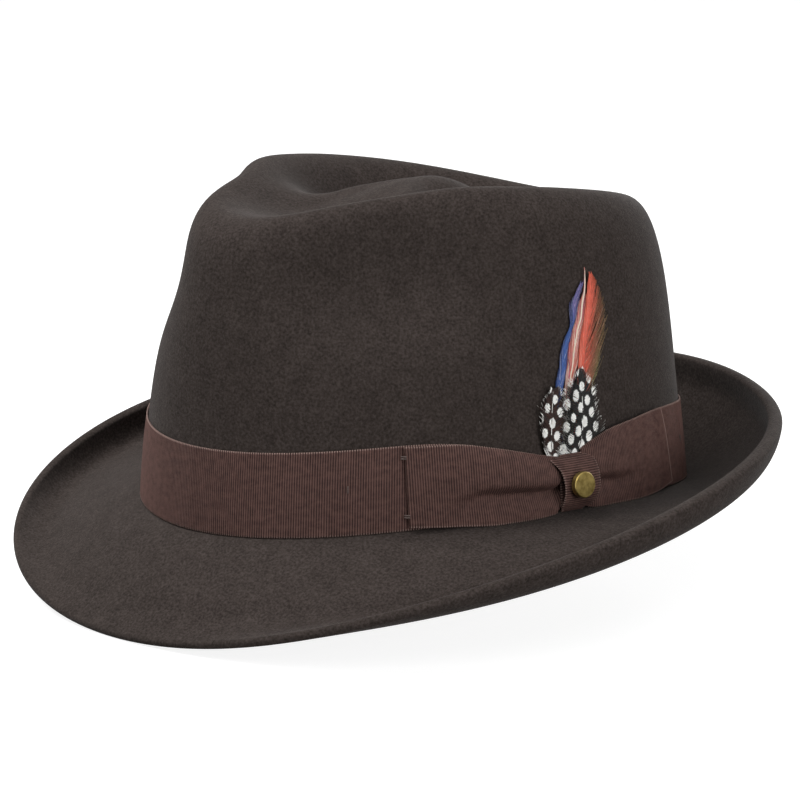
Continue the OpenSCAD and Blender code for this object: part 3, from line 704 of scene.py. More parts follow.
def felt_body():
    th = angles(FELT_STEPS)
    profile = [(u, shoulder(u)) for u in np.linspace(0, SHOULDER_MID, WALL_ROWS)]
    profile += [(shoulder(o), o) for o in np.linspace(SHOULDER_MID, 0, TOP_ROWS)[1:-1]]
    stations = np.concatenate([np.linspace(0, 1, BRIM_ROWS), np.linspace(1, 2, CURL_ROWS)[1:]])
    lip = around(RIM_ROLL, th)
    rings = [crown(th, u, o, -FELT_T) for u, o in reversed(profile)]
    rings += [brim(th, s, FELT_T) for s in stations]
    for a in np.linspace(0, 180, LIP_ROWS)[1:-1]:
        rings.append(brim(th, 2.0, mix(FELT_T, -lip, (1 - cos(a)) / 2), FELT_T / 2 * sin(a)))
    for s in reversed(stations[1:]):
        rings.append(brim(th, s, -lip * ease((s - RIM_ROLL_START) / (2 - RIM_ROLL_START))))
    rings += [crown(th, u, o, 0.0) for u, o in profile]
    poles = [crown(0.0, 1, 0, d)[None] for d in (-FELT_T, 0.0)]
    n = len(rings)
    j = np.arange(FELT_STEPS)
    k = (j + 1) % FELT_STEPS
    pole, last = 0 * j + n * FELT_STEPS, (n - 1) * FELT_STEPS
    fans = [np.stack([pole, j, k], -1), np.stack([pole + 1, last + k, last + j], -1)]
    return np.concatenate(rings + poles), [grid_faces(n, FELT_STEPS, wrap_v=True), *fans], {}


# Points across the band, the bow and the knot, how far they crowd at the edges, and the cord along an edge
BAND_ROWS, BOW_ROWS, KNOT_ROWS = 18, 48, 24
ROW_DRAW = 0.65
CORD_HALF = 0.3
CORD_H = 0.08


def rows_across(count):
    """Shares across a ribbon, closer together at its edges."""
    k = np.linspace(-1, 1, count)
    return 0.5 + 0.5 * ((1 - ROW_DRAW) * k + ROW_DRAW * np.sin(k * np.pi / 2))


def path_length(path, wrap=False):
    """Length along a path of points up to each of them, and the whole length."""
    ends = np.concatenate([path, path[:1]]) if wrap else path
    run = np.concatenate([[0], np.cumsum(np.linalg.norm(np.diff(ends, axis=0), axis=1))])
    return run[: len(path)], run[-1]


def ribbed(grid, wrap=False, thick=RIBBON_T, cut_end=False):
    """Grosgrain strip whose middle lies on a grid of points, with ribs across it and a corded edge."""
    middle = grid[:, grid.shape[1] // 2]
    run, total = path_length(middle, wrap)
    width = np.linalg.norm(np.diff(grid, axis=1), axis=-1)
    across = np.concatenate([np.zeros((len(grid), 1)), np.cumsum(width, axis=1)], axis=1)
    inward = np.minimum(across, across[:, -1:] - across)
    wave = np.cos(2 * np.pi * run / RIB_PITCH)[:, None]
    cord = CORD_H * bell((inward - CORD_HALF) / CORD_HALF)
    half = thick / 2 + RIB_H * (wave - 1) + cord
    normal = unit(np.cross(slope(grid, 0, wrap), slope(grid, 1)))
    push = half[..., None] * normal
    if cut_end:
        inward = np.minimum(inward, (total - run)[:, None])
    weave = np.stack([np.broadcast_to(run[:, None], across.shape), across, inward], -1)
    return skin(grid + push, grid - push, wrap, weave=weave)


def rib_steps(length):
    """Count of columns for a run of ribs, four to a rib."""
    return 4 * round(length / RIB_PITCH)


# Tacks that hold the band to the felt: angle and height; and its puff and dimple there: height and spread
BAND_TACKS = tuple((39 + 90 * i, RIBBON_LIFT + RIBBON_W * 0.53) for i in range(4))
TACK_WAVES = ((0.35, 9.0), (-0.5, 1.6))
# The band's lift off the brim in front, its slack and the points by which it is measured
BAND_FRONT_LIFT = 0.05
BAND_SLACK = 0.12
BAND_TRACE = 1440


def hat_band():
    """Band that dips behind the bow and comes down to the brim where the brim slopes away."""
    turn = np.linspace(0, 360, BAND_TRACE + 1)
    run, total = path_length(wall(turn[:-1], RIBBON_LIFT + RIBBON_W / 2, BAND_OUT), True)
    count = rib_steps(total)
    th = np.interp(np.arange(count) * total / count, np.append(run, total), turn)[:, None]
    w = rows_across(BAND_ROWS)[None]
    low = mix(BAND_FRONT_LIFT, RIBBON_LIFT, (1 - cos(th)) / 2)
    high = RIBBON_LIFT + RIBBON_W - BAND_DIP * bell(side_arc(th) / BAND_DIP_SPREAD)
    loose = BAND_SLACK * (1 + sin(5 * th + 40) * sin(13 * th)) * sin(180 * w)
    for tack_th, tack_v in BAND_TACKS:
        off = np.hypot(np.radians(th - tack_th) * HALF_L, mix(low, high, w) - tack_v)
        for height, spread in TACK_WAVES:
            loose = loose + height * bell(off / spread)
    return ribbed(wall(th, mix(low, high, w), SEAT + RIBBON_T / 2 + loose), wrap=True)


# Bow by the arc from its knot: heights of its edges, distances off the felt, and the crease's share across
LOOP_TOP = ((-61.2, 28.1), (-43.3, 26.95), (-28.3, 23.85), (-18.7, 21.4), (-9.6, 19.2), (-3.4, 18.0))
LOOP_LOW = ((-61.2, 1.3), (-44, 0.0), (-29, -0.9), (-14, -0.7), (-6.5, -0.4), (-4.4, 2.2), (-3.4, 2.6))
LOOP_TOP_D = ((-61.2, 2.6), (-40, 2.9), (-20, 3.3), (-10, 2.6), (-3.4, 2.4))
LOOP_LOW_D = ((-61.2, 2.6), (-44, 3.6), (-31, 4.8), (-16, 4.9), (-9, 4.0), (-5.5, 3.2), (-3.4, 4.4))
LOOP_CREST = ((-61.2, 2.7), (-48, 3.6), (-30, 5.9), (-17, 6.8), (-8, 5.4), (-3.4, 4.6))
LOOP_CREASE = ((-61.2, 0.18), (-46, 0.24), (-33, 0.37), (-3.4, 0.41))
TAIL_TOP = (
    (3.4, 19.9), (5.2, 20.5), (9.5, 22.1), (13.5, 23.45), (17.8, 24.7), (22.2, 25.45), (30.9, 26.5),
    (52.5, 28.65), (56.5, 28.75),
)
TAIL_LOW = ((3.4, 2.6), (5.5, 1.5), (7.5, 0.2), (11, -0.25), (25, -0.3), (37, -0.05), (48, 1.0), (56.5, 2.6))
TAIL_TOP_D = ((3.4, 2.4), (9, 2.7), (20, 3.2), (40, 2.8), (56.5, 2.6))
TAIL_LOW_D = ((3.4, 4.4), (7, 3.2), (12, 3.9), (25, 4.2), (40, 3.6), (56.5, 3.2))
TAIL_CREST = ((3.4, 4.8), (10, 5.8), (18, 5.6), (30, 4.6), (45, 3.4), (56.5, 3.2))
TAIL_CREASE = ((3.4, 0.38), (12, 0.37), (23, 0.30), (34, 0.32), (56.5, 0.32))
# Edges of the knot: height, then arc; and how far its top flares up
KNOT_LEFT = ((-0.3, -5.1), (7.5, -5.2), (13.1, -6.1), (18.8, -10.2))
KNOT_RIGHT = ((-0.3, 7.4), (6.3, 9.3), (12, 9.5), (19.5, 8.6))
KNOT_FLARE = 1.1
# What grows along or across a ply: how much, and the shares where it starts and over which it grows
LOOP_DIP = (4.3, 0.14, 0.5)
TAIL_DIP = (3.1, 0.34, 0.42)
BACK_PLY_RISE = (1.0, 0.4, 0.4)
TAIL_TUCK = (1.6, 0.7, 0.3)
# Spread of a crease over and under its line, how full the ribbon puffs beside it, and its folds
DIP_OVER, DIP_UNDER = 0.08, 0.25
PUFF_POWER = 0.55
FOLD_R = 0.55
BACK_PLY_ROOM = 1.1
TAIL_BULGE = 0.5
# The knot's half width behind, its tucked edges, and its points in front and behind
KNOT_BACK_HALF = 4.5
KNOT_TUCK = 0.6
KNOT_POINTS = (200, 150)
KNOT_SOFTENING = 6


def grow(share, full, start, length):
    return full * ease((share - start) / length)


def puffed(arc, w, tables, depth):
    """Distance of a gathered ribbon's face across its width, with a crease that is sharp on its upper side.
    The tables are those of its lower edge, its upper edge, its crest and its crease."""
    low_d, top_d, crest, crease_w = (through(arc, table) for table in tables)
    edge = mix(low_d, top_d, w)
    side = w - crease_w
    dip = depth * bell(side / np.where(side > 0, DIP_OVER, DIP_UNDER))
    return edge + (crest - edge) * sin(180 * w) ** PUFF_POWER - dip


def bow_loop():
    """One length of ribbon: in from the knot along the band, folded over at the bow's end and back again."""
    w = rows_across(BOW_ROWS)[None]
    u = np.linspace(0, 1, rib_steps(LOOP_LEN - GATHER_ARC))[:, None]
    arc = mix(-LOOP_LEN, -GATHER_ARC, u)
    low, high = through(arc, LOOP_LOW), through(arc, LOOP_TOP)
    face = puffed(arc, w, (LOOP_LOW_D, LOOP_TOP_D, LOOP_CREST, LOOP_CREASE), grow(u, *LOOP_DIP))
    rest_d = BAND_OUT + SEAT + RIBBON_T / 2
    behind = mix(rest_d, BOW_IN + BACK_PLY_ROOM, grow(u, *BACK_PLY_RISE))
    behind = np.minimum(behind, face - 2 * FOLD_R)
    th = side_angle(mix(-LOOP_LEN + FOLD_R + LOOP_SLANT * (0.5 - w), -GATHER_ARC, u))
    front_ply = wall(th, mix(low, high, w), face)
    back_ply = wall(th, mix(np.maximum(low, RIBBON_LIFT), high, w), behind)
    turn = np.linspace(0, 180, 12)[1:-1, None]
    middle, half = (face[:1] + behind[:1]) / 2, (face[:1] - behind[:1]) / 2
    fold_th = th[:1] - np.degrees(half * sin(turn) / HALF_L)
    fold = wall(fold_th, mix(low[:1], high[:1], w) + 0 * turn, middle - half * cos(turn))
    return ribbed(np.concatenate([back_ply[::-1], fold, front_ply]))


def bow_tail():
    w = rows_across(BOW_ROWS)[None]
    u = np.linspace(0, 1, rib_steps(TAIL_LEN - GATHER_ARC))[:, None]
    arc = mix(TAIL_LEN, GATHER_ARC, u)
    face = puffed(arc, w, (TAIL_LOW_D, TAIL_TOP_D, TAIL_CREST, TAIL_CREASE), grow(u, *TAIL_DIP))
    cut_end = TAIL_LEN + TAIL_SLANT * (0.5 - w) + TAIL_BULGE * sin(180 * w)
    th = side_angle(mix(cut_end, GATHER_ARC + grow(w, *TAIL_TUCK), u))
    v = mix(through(arc, TAIL_LOW), through(arc, TAIL_TOP), w)
    return ribbed(wall(th, v, face)[::-1], cut_end=True)


def bow_knot():
    """Ribbon wrapped once round the bow's waist, with a flared top."""
    half = math.degrees(math.asin(KNOT_H / 2 / KNOT_R))
    phi = np.linspace(-half, half, KNOT_POINTS[0])
    arc_d = KNOT_FRONT - KNOT_R + (KNOT_R - RIBBON_T / 2) * cos(phi)
    arc_v = KNOT_MID_V + (KNOT_R - RIBBON_T / 2) * sin(phi)
    arc_v = arc_v + KNOT_FLARE * ease((arc_v - KNOT_MID_V) / (KNOT_H / 2))
    line_v = np.linspace(arc_v[-1], arc_v[0], KNOT_POINTS[1])[1:-1]
    line_d = 0 * line_v + BOW_IN + RIBBON_T / 2
    outline = np.stack([np.append(arc_d, line_d), np.append(arc_v, line_v)], -1)
    run, total = path_length(outline, True)
    count = rib_steps(total)
    s = np.arange(count) * total / count
    ring = np.stack([np.interp(s, run, outline[:, k], period=total) for k in (0, 1)], -1)
    for _ in range(KNOT_SOFTENING):
        ring = (np.roll(ring, 1, 0) + 2 * ring + np.roll(ring, -1, 0)) / 4
    d, v = ring[:, :1], ring[:, 1:]
    shown = ease((d - BOW_IN - RIBBON_T) / (2 * RIBBON_T))
    left = mix(-KNOT_BACK_HALF, through(v, KNOT_LEFT), shown)
    right = mix(KNOT_BACK_HALF, through(v, KNOT_RIGHT), shown)
    w = rows_across(KNOT_ROWS)[None]
    tuck = KNOT_TUCK * np.abs(2 * w - 1) ** 5 * shown
    grid = wall(side_angle(mix(left, right, w)), v + 0 * w, d - tuck)
    return ribbed(grid[:, ::-1], wrap=True)


def wall_axes(th, v, d):
    """Place on the wall with the directions out, round and up there."""
    place = wall(th, v, d)
    up = unit(wall(th, v + 1, d) - wall(th, v - 1, d))
    round_ = unit(np.cross(up, outward(th)))
    return place, np.cross(round_, up), round_, up


# How thread swells and twists, how deep a stitch goes in, and the pairs of tacks at the bow's fold
THREAD_SWELL = 0.12
THREAD_TWISTS = 9
STITCH_SINK = 0.15
FOLD_TACKS = (0.18, 0.87)
FOLD_TACK_HALF = 0.35
FOLD_TACK_OUT = 0.9
FOLD_TACK_PAST = 0.5


def stitch(place, out, run, rise, sink=STITCH_SINK, points=15, swell=THREAD_SWELL):
    """Thread that comes out of the cloth, runs across it and goes in again."""
    t = np.linspace(-1, 1, points)[:, None]
    path = place + run / 2 * t + out * (rise * (1 - t**4) - sink)
    return tube(path, THREAD_D / 2 * (1 + swell * cos(180 * THREAD_TWISTS * t[:, 0])), out)


def tack_stitches():
    on_band = BAND_OUT + SEAT
    tacks = []
    for th, v in BAND_TACKS:
        place, out, _, up = wall_axes(th, v, on_band)
        tacks.append(stitch(place, out, up * TACK_LEN, THREAD_D / 2))
    for share in FOLD_TACKS:
        th = side_angle(-LOOP_LEN + LOOP_SLANT * (0.5 - share) - FOLD_TACK_PAST)
        for ply in (-FOLD_TACK_HALF, FOLD_TACK_HALF):
            place, out, round_, _ = wall_axes(th, RIBBON_W * share + ply, on_band + FOLD_TACK_OUT)
            tacks.append(stitch(place, out, round_ * TACK_LEN, FOLD_TACK_OUT))
    return joined(tacks)


# Points along a shaft, round it and along a barb
SHAFT_POINTS, SHAFT_SIDES, BARB_POINTS = 80, 8, 10
# Where a feather steps back to the felt, over which height, and how much its shaft thins
STEP_START = RIBBON_W * 0.75
STEP_RUN = RIBBON_W * 0.2
TIP_TAPER = 0.7
# Barbs: how they vary, open in sparse and full rows, lift off, curl and thin, and their edges and ridge
BARBS_PER_MM = 6.0
ROOT_SPREAD = 0.3
CLIMB_SPREAD = 0.5
REACH_SPREAD = 0.4
BEND_SPREAD = 0.5
BARB_OPENING = (1.5, 0.75)
BARB_LIFT = 0.10
BARB_CURL = 2.4
BARB_TAPER = 0.8
BARB_EDGE, BARB_RIDGE = -0.02, 0.05
# Reach across the vane that a strand's note counts as 1
STRAND_UNIT = 8.0


def feather(
    seed, lane, vane_layer, line, left, right, advance,
    quill_layer=0, loose=0.3, width=0.32, kept=(1.0, 1.0), shaft=0.12,
):
    """Shaft with two rows of barbs. The line gives the vane's middle and the sides its reach, as height and
    arc. A barb climbs by advance on its way to the vane's edge, and a share of each side's barbs is kept."""
    rng = np.random.default_rng(seed)
    vane_low, tip_v = line[0][0], line[-1][0]
    root_arc = lane * QUILL_PITCH
    stem = ((QUILL_LOW, root_arc), (QUILL_LOW + BINDING_LEN + 2, root_arc)) + line
    stem_d = QUILL_D + quill_layer * LAYER_PITCH
    vane_d = SEAT + SHAFT_T / 2 + vane_layer * LAYER_PITCH
    step_v = RIBBON_LIFT + RIBBON_W if quill_layer == 0 else STEP_START

    def depth(v):
        return mix(stem_d, vane_d, ease((v - step_v) / STEP_RUN))

    v = np.linspace(QUILL_LOW, tip_v - 0.3, SHAFT_POINTS)
    th = side_angle(through(v, stem))
    share = np.clip((v - vane_low) / (tip_v - vane_low), 0, 1)
    radius = mix(SHAFT_T / 2, shaft, share) * (1 - TIP_TAPER * share**6)
    points, faces, _ = tube(wall(th, v, depth(v)), radius, outward(th), sides=SHAFT_SIDES)
    plume = np.repeat(np.stack([0 * v, v, 0 * v + 0.5], -1), SHAFT_SIDES, axis=0)
    parts = [(points, faces, {"plume": plume, "strand": plume * (1, 0, 1)})]
    t = np.linspace(0, 1, BARB_POINTS)[None]
    for side, reach_line, share_kept in ((-1, left, kept[0]), (1, right, kept[1])):
        n = round((tip_v - vane_low) * BARBS_PER_MM * share_kept)
        root = np.linspace(vane_low - advance * 0.3, tip_v - 0.6, n)
        root = root + rng.normal(0, ROOT_SPREAD / BARBS_PER_MM, n)
        climb = np.minimum(advance, 0.8 * (tip_v + 0.4 - root)) * (1 + loose * rng.normal(0, CLIMB_SPREAD, n))
        reach = through(root + climb, reach_line) * (1 + loose * rng.normal(0, REACH_SPREAD, n))
        bend = rng.normal(0, loose * BEND_SPREAD, n)[:, None]
        lift = BARB_LIFT * rng.random(n)[:, None]
        bv = np.minimum(root[:, None] + climb[:, None] * t**1.15, tip_v + 0.5)
        across = side * np.abs(reach)[:, None] * t ** mix(*BARB_OPENING, share_kept) + bend * t * (1 - t)
        ba = through(bv, stem) + across
        bd = depth(bv) + lift - BARB_LIFT / 2 + loose * BARB_CURL * lift * t**2
        da, dv = np.gradient(ba, axis=1), np.gradient(bv, axis=1)
        norm = np.maximum(np.hypot(da, dv), 1e-9)
        half = width / 2 * (1 - BARB_TAPER * t**1.5)
        corners = [
            wall(side_angle(ba - k * half * dv / norm), bv + k * half * da / norm, bd + rise)
            for k, rise in ((-1, BARB_EDGE), (1, BARB_EDGE), (0, BARB_RIDGE))
        ]
        base = (np.arange(n) * BARB_POINTS * 3)[:, None]
        quads = (grid_faces(BARB_POINTS, 3, wrap_v=True)[None] + base[..., None]).reshape(-1, 4)
        first = base + np.arange(3)
        caps = np.concatenate([first[:, ::-1], first + (BARB_POINTS - 1) * 3])
        luck = rng.random(n)[:, None]
        notes = {}
        for key, values in (("plume", (ba, bv, luck)), ("strand", (across / STRAND_UNIT, t, luck))):
            grid = np.stack(np.broadcast_arrays(*values), -1)
            notes[key] = np.repeat(grid, 3, axis=1).reshape(-1, 3)
        parts.append((np.stack(corners, 2).reshape(-1, 3), [quads, caps], notes))
    return joined(parts)


# The binding: first and last lane of its quills, points to a turn of thread, and how square a turn is
LANES = (-3, 2)
BINDING_POINTS = 40
BINDING_POWER = 0.4


def feather_binding():
    """Thread wound side by side round the flat bundle of quills."""
    turns = round(BINDING_LEN / THREAD_D)
    t = np.linspace(0, turns, turns * BINDING_POINTS)
    wide = (LANES[1] - LANES[0]) * QUILL_PITCH + SHAFT_T + 4 * BINDING_GAP + BINDING_WALL
    deep = QUILL_DEEP + BINDING_WALL
    c, s = (np.sign(k) * np.abs(k) ** BINDING_POWER for k in (np.cos(2 * np.pi * t), np.sin(2 * np.pi * t)))
    arc = sum(LANES) / 2 * QUILL_PITCH + wide / 2 * c
    d = QUILL_IN + BINDING_WALL + QUILL_DEEP / 2 + deep / 2 * s
    v = QUILL_LOW + 1 + THREAD_D / 4 + (BINDING_LEN - THREAD_D / 2) * t / turns
    return tube(wall(side_angle(arc), v, d), BINDING_WALL / 2, np.array((0.0, 0.0, 1.0)), sides=6)


# Inside of the hat: points round it, the sweatband's waves, its thin upper edge and its gap
ROUND_STEPS = 480
SWEAT_WAVE = 0.12
SWEAT_WAVE_SPAN = (15, 35)
SWEAT_BEVEL = 1.2
SWEAT_CLEAR = 0.02
# The sweatband's stitches: height, slant, and their rise, sink, points and swell
SWEAT_STITCH_V = 2.2
SWEAT_STITCH_SLANT = 0.3
SWEAT_STITCH = (0.35, 0.1, 13, 0.1)
# The rear bow, its loops' depth and waist, and its knot: half its height, depth and width
REAR_BOW_V = 10.0
REAR_BOW_T = 0.3
REAR_BOW_OPEN = 0.49
REAR_BOW_WAIST = 0.35
REAR_KNOT = (1.9, 0.75, 1.2)
# The lining's folds and their depth, the share where its tip's mesh ends, and its cord's swellings
LINING_FOLDS = 24
LINING_SLACK = 0.22
TIP_CENTRE = 0.004
PIPING_STEPS = 720
PIPING_SWELL = 0.04


def sweatband():
    th = angles(ROUND_STEPS)[:, None]
    v = SWEAT_LOW + SWEAT_H * rows_across(26)[None]
    start, end = SWEAT_WAVE_SPAN
    soft = np.abs(SWEAT_WAVE * sin(7 * th + 20) * ease((v - start) / (end - start)))
    thick = SWEAT_T * (1 - 0.5 * bell((v - SWEAT_LOW - SWEAT_H) / SWEAT_BEVEL))
    outer = wall(th, v, -SWEAT_OUT - SWEAT_CLEAR - soft)
    inner = wall(th, v, -SWEAT_OUT - thick - soft)
    return skin(outer, inner, wrap=True)


def sweatband_reed():
    th = angles(ROUND_STEPS)
    return tube(wall(th, 0.0, -REED_MID), REED_D / 2, outward(th), sides=16, wrap=True)


def sweatband_stitching():
    parts = []
    for i in range(STITCH_N):
        th = 360 * (i + 0.5) / STITCH_N
        place, out, round_, up = wall_axes(th, SWEAT_LOW + SWEAT_STITCH_V, -SWEAT_IN)
        run = round_ * STITCH_LEN + up * SWEAT_STITCH_SLANT
        parts.append(stitch(place, -out, run, *SWEAT_STITCH))
    return joined(parts)


def sweatband_bow():
    """Flat bow of narrow ribbon: two folded loops and a wrapped middle."""
    back_bend_r = HALF_W**2 / HALF_L
    reach = REAR_BOW_LOOP + RIBBON_T
    sagitta = reach**2 / 2 / (back_bend_r - SWEAT_IN)
    mid_d = -SWEAT_IN - SEAT - sagitta - RIBBON_T
    place, out, round_, up = wall_axes(180.0, SWEAT_LOW + REAR_BOW_V, mid_d)
    parts = []
    w = np.linspace(-1, 1, 14)[None, :, None]
    turn = np.linspace(20, 340, 110)[:, None, None]
    for side in (-1, 1):
        along = side * (REAR_BOW_LOOP / 2) * (1 - cos(turn))
        high = REAR_BOW_H / 2 * mix(REAR_BOW_WAIST, 1, sin(turn / 2)) * w
        grid = place + round_ * along + up * high + out * REAR_BOW_OPEN * sin(turn)
        parts.append(ribbed(grid if side > 0 else grid[:, ::-1], thick=REAR_BOW_T))
    high, deep, wide = REAR_KNOT
    turn = angles(60)[:, None, None]
    ring = place + up * (high * sin(turn)) + out * (deep * cos(turn))
    ring = ring + round_ * wide * np.linspace(-1, 1, 8)[None, :, None]
    parts.append(ribbed(ring, wrap=True, thick=REAR_BOW_T))
    return joined(parts)


def lining_sheet(up, out, steps, slack=0.0):
    th = angles(steps)[:, None]
    outer, inner = (crown(th, up, out, -d - slack) for d in (LINING_OUT, LINING_IN))
    return skin(outer, inner, wrap=True)


def lining_side():
    th = angles(ROUND_STEPS)[:, None]
    up = np.linspace(LINING_LOW / CROWN_MID_H, SHOULDER_MID, 60)[None]
    share = (up - up[:, :1]) / (up[:, -1:] - up[:, :1])
    slack = LINING_SLACK * (1 + sin(LINING_FOLDS * th + 50 * sin(3 * th))) * sin(180 * share)
    return lining_sheet(up, shoulder(up), ROUND_STEPS, slack)


def lining_tip():
    out = np.linspace(SHOULDER_MID - SEAT / HALF_W, TIP_CENTRE, 90)[None]
    return lining_sheet(shoulder(out), out, FELT_STEPS)


def lining_piping():
    th = angles(PIPING_STEPS)
    drop = LINING_IN + SEAT + PIPING_D / 2
    path = crown(th, SHOULDER_MID, SHOULDER_MID, -drop)
    return tube(path, PIPING_D / 2 * (1 + PIPING_SWELL * sin(180 * th)), outward(th), sides=12, wrap=True)


dress("felt_hat_body", felt_body(), FELT, "hat", "felt", "felt_body")
band = dress("ribbon_band", hat_band(), RIBBON, "hat", "ribbon", "hat_band")
dress("ribbon_tacks", tack_stitches(), THREAD, "hat", "thread", "tack_stitches")
loop = dress("ribbon_bow_loop", bow_loop(), RIBBON, "hat", "ribbon", "bow_loop")
tail = dress("ribbon_bow_tail", bow_tail(), RIBBON, "hat", "ribbon", "bow_tail")
knot = dress("ribbon_bow_knot", bow_knot(), RIBBON, "hat", "ribbon", "bow_knot")
for node in ("stud_head", "stud_post", "stud_clutch"):
    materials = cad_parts[node].data.materials
    materials.clear()
    materials.append(BRASS)

# Feathers: the line of the vane's middle, then its reach to the loop's side and to the tail's side
SPOTTED = dict(advance=BARB_CLIMB, loose=0.32, width=0.40, shaft=0.1)
CREAM_REACH = ((40, 1.6), (52.9, 2.5), (60.3, 2.2), (68.2, 1.7), (72, 0.5), (79.6, 0.1))
PLUMES = (
    ("spotted_feather_front", "guinea_feather_front", GUINEA, "guinea", dict(
        SPOTTED, seed=1, lane=-2, quill_layer=2, vane_layer=5,
        line=((12.5, -1.6), (18, 3.5), (24, 6.2), (30, 6.9), (46.8, 7.3)),
        left=(
            (18, 8.0), (27.6, 8.6), (32, 8.0), (37, 7.9), (40.5, 7.5), (43.1, 5.6), (44.6, 3.6), (46.8, 0.6),
        ),
        right=(
            (18, 9.0), (24, 10.4), (27.6, 8.8), (32, 6.8), (37, 6.4), (40.5, 5.6), (43.1, 4.0), (44.6, 2.6),
            (46.8, 0.6),
        ),
    )),
    ("spotted_feather_rear", "guinea_feather_rear", GUINEA_BROWN, "guinea", dict(
        SPOTTED, seed=2, lane=-3, quill_layer=1, vane_layer=4,
        line=((12.5, -3.2), (18, -6.2), (24, -6.8), (32, -6.3), (41.5, -5.2)),
        left=((16, 1.6), (20, 2.4), (24, 3.1), (28.6, 4.1), (32, 4.6), (36, 4.7), (38.6, 3.6), (41.2, 1.0)),
        right=((16, 4.0), (24, 7.0), (32, 7.0), (37.8, 5.4), (40.3, 4.0), (41.5, 2.4)),
    )),
    ("dyed_feather_red", "red_feather", RED, "red_barbs", dict(
        seed=3, lane=2, vane_layer=3, advance=15.0, kept=(1.0, 0.9),
        line=((36, 6.5), (42, 7.9), (48.6, 9.6), (56.2, 11.6), (63.2, 14.0), (71.6, 16.2), (77.8, 17.0)),
        left=((42, 1.9), (48.6, 2.1), (56.2, 2.7), (63.2, 2.4), (71.6, 2.0), (77.8, 0.5)),
        right=(
            (42, 4.0), (50, 7.0), (55, 8.4), (58.5, 8.8), (62.9, 7.9), (67.4, 6.6), (71.4, 4.8), (75, 2.7),
            (77.8, 0.6),
        ),
    )),
    ("dyed_feather_cream", "cream_feather", CREAM, "cream_barbs", dict(
        seed=4, lane=0, vane_layer=2, advance=12.0, kept=(0.8, 0.8), shaft=0.42,
        line=(
            (36, 1.4), (45.2, 3.7), (48.8, 4.9), (52.9, 5.8), (56.8, 7.1), (60.3, 8.5), (63.7, 10.4),
            (68.2, 11.7), (73.4, 13.8), (79.6, 15.0),
        ),
        left=CREAM_REACH, right=CREAM_REACH,
    )),
    ("dyed_feather_blue", "blue_feather", BLUE, "blue_barbs", dict(
        seed=5, lane=-1, vane_layer=1, advance=8.0,
        line=(
            (36, -2.2), (40.4, -1.5), (42.2, -1.2), (48.4, 0.9), (53.3, 2.0), (58.5, 4.4), (61.9, 6.9),
            (65.1, 7.7), (68.7, 8.4), (71.7, 10.3), (75.6, 13.5),
        ),
        left=(
            (40, 1.6), (48.4, 1.8), (53.3, 1.7), (58.5, 1.4), (61.9, 0.8), (65.1, 1.5), (68.7, 2.0),
            (71.7, 1.1), (75.6, 0.7),
        ),
        right=(
            (40, 1.6), (48.4, 1.8), (53.3, 1.7), (58.5, 1.6), (61.9, 1.5), (68.7, 2.0), (71.7, 1.4),
            (75.6, 0.7),
        ),
    )),
    ("dyed_feather_olive", "olive_feather", OLIVE, "olive_barbs", dict(
        seed=6, lane=1, vane_layer=0, advance=11.0, loose=0.35, kept=(0.9, 0.9),
        line=((36, 5.5), (42, 9.2), (48, 12.0), (56.5, 16.2)),
        left=((40, 2.4), (48, 2.2), (56.5, 0.4)),
        right=((40, 6.6), (45.3, 6.6), (50, 6.2), (56.5, 2.6)),
    )),
)
for name, node, material, slot, shape in PLUMES:
    dress(name, feather(**shape), material, "feather_mount", slot, node)
dress("feather_binding_thread", feather_binding(), THREAD, "feather_mount", "thread", "feather_binding")

sweat = dress("leather_sweatband", sweatband(), LEATHER, "hat", "leather", "sweatband")
dress("sweatband_reed_cord", sweatband_reed(), REED, "hat", "reed", "sweatband_reed")
dress("sweatband_stitches", sweatband_stitching(), THREAD, "hat", "thread", "sweatband_stitching")
dress("sweatband_ribbon_bow", sweatband_bow(), RIBBON, "hat", "ribbon", "sweatband_bow")
lining = dress("satin_lining_side", lining_side(), SATIN, "hat", "satin", "lining_side")
tip = dress("satin_lining_tip", lining_tip(), SATIN, "hat", "satin", "lining_tip")
dress("satin_lining_piping", lining_piping(), SATIN, "hat", "satin", "lining_piping")

# Camera: turned to the wearer's left of the front, a little above the brim, rolled by half a degree
CAMERA_TURN = 47.6
CAMERA_RISE = 11.6
CAMERA_ROLL = 0.55
CAMERA_FAR = 1500.0
IMAGE_PX = 800
MM_PER_PX = 0.36
# Where the centre of the head opening lies in the image
ORIGIN_PX = (416.5, 489.5)
SENSOR_MM = 36.0
CLIP_M = (0.05, 50)


def facing(turn, rise, far, roll=0.0):
    """Matrix of a camera or lamp that looks at the origin from these angles and this far."""
    steps = ((turn, "Z"), (90 - rise, "X"), (roll, "Z"))
    a, b, c = (Matrix.Rotation(math.radians(angle), 4, axis) for angle, axis in steps)
    return a @ b @ c @ Matrix.Translation((0, 0, far))


def place_camera():
    data = bpy.data.cameras.new("camera")
    data.sensor_width = SENSOR_MM
    data.lens = SENSOR_MM * CAMERA_FAR / (IMAGE_PX * MM_PER_PX)
    data.shift_x = (IMAGE_PX / 2 - ORIGIN_PX[0]) / IMAGE_PX
    data.shift_y = (ORIGIN_PX[1] - IMAGE_PX / 2) / IMAGE_PX
    data.clip_start, data.clip_end = CLIP_M
    scene.camera = add("camera", data)
    scene.camera.matrix_world = facing(CAMERA_TURN, CAMERA_RISE, CAMERA_FAR * MM, CAMERA_ROLL)


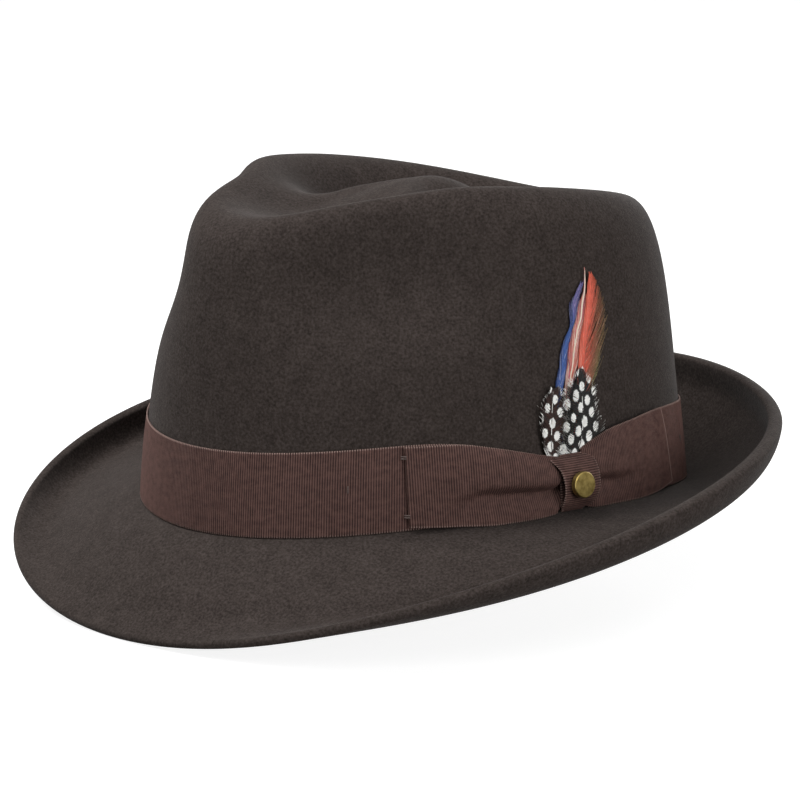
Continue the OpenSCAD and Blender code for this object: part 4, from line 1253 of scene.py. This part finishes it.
# Lamps: angles from the front to the wearer's left and up, distance and size in metres, power in watts
LAMPS = (
    ("key", -40.0, 52.0, 1.8, 0.9, 26.0),
    ("top", -60.0, 68.0, 1.8, 0.9, 20.0),
    ("front", 60.0, 40.0, 1.8, 0.9, 10.5),
    ("fill", 88.0, 10.0, 1.8, 0.8, 16.0),
    ("back", 200.0, 15.0, 1.8, 0.9, 11.0),
)
# Height that the lamps aim at; and the floor's half width and gap below the hat, its grey and its glow
LAMP_AIM = 0.05
WORLD_LIGHT = 0.03
FLOOR_HALF = 6000.0
FLOOR_GAP = 0.5
FLOOR_GREY = 0.3
FLOOR_GLOW = 0.87


def shown_directly(tree):
    """1 for rays from the camera and for those reflected or let through, and 0 for the light's own rays."""
    kinds = ("Camera", "Glossy", "Transmission")
    rays = [put(tree, "LightPath", {}, "Is %s Ray" % kind) for kind in kinds]
    return calc("MAXIMUM", calc("MAXIMUM", rays[0], rays[1]), rays[2])


def studio():
    world = bpy.data.worlds.new("studio")
    scene.world = world
    world.use_nodes = True
    tree = world.node_tree
    sky = tree.nodes["Background"].inputs
    sky["Color"].default_value = (1, 1, 1, 1)
    tree.links.new(remap(shown_directly(tree), WORLD_LIGHT, 1.0).socket, sky["Strength"])
    for name, turn, rise, far, size, power in LAMPS:
        lamp = bpy.data.lights.new(name, "AREA")
        lamp.size = size
        lamp.energy = power
        add(name, lamp).matrix_world = Matrix.Translation((0, 0, LAMP_AIM)) @ facing(turn, rise, far)
    low = cad_box[0].z / MM - FLOOR_GAP
    corners = [(x * FLOOR_HALF, y * FLOOR_HALF, low) for x, y in ((-1, -1), (1, -1), (1, 1), (-1, 1))]
    sockets = {"Base Color": (FLOOR_GREY,) * 3 + (1,), "Roughness": 0.9, "Emission Color": (1, 1, 1, 1)}
    material, tree = paint("floor", sockets)
    wire(material, {"Emission Strength": shown_directly(tree) * FLOOR_GLOW})
    floor = mesh_object("floor", (np.array(corners), [np.arange(4)[None]], {}), material)
    scene.view_settings.view_transform = "Standard"


place_camera()
studio()

bpy.context.view_layer.update()
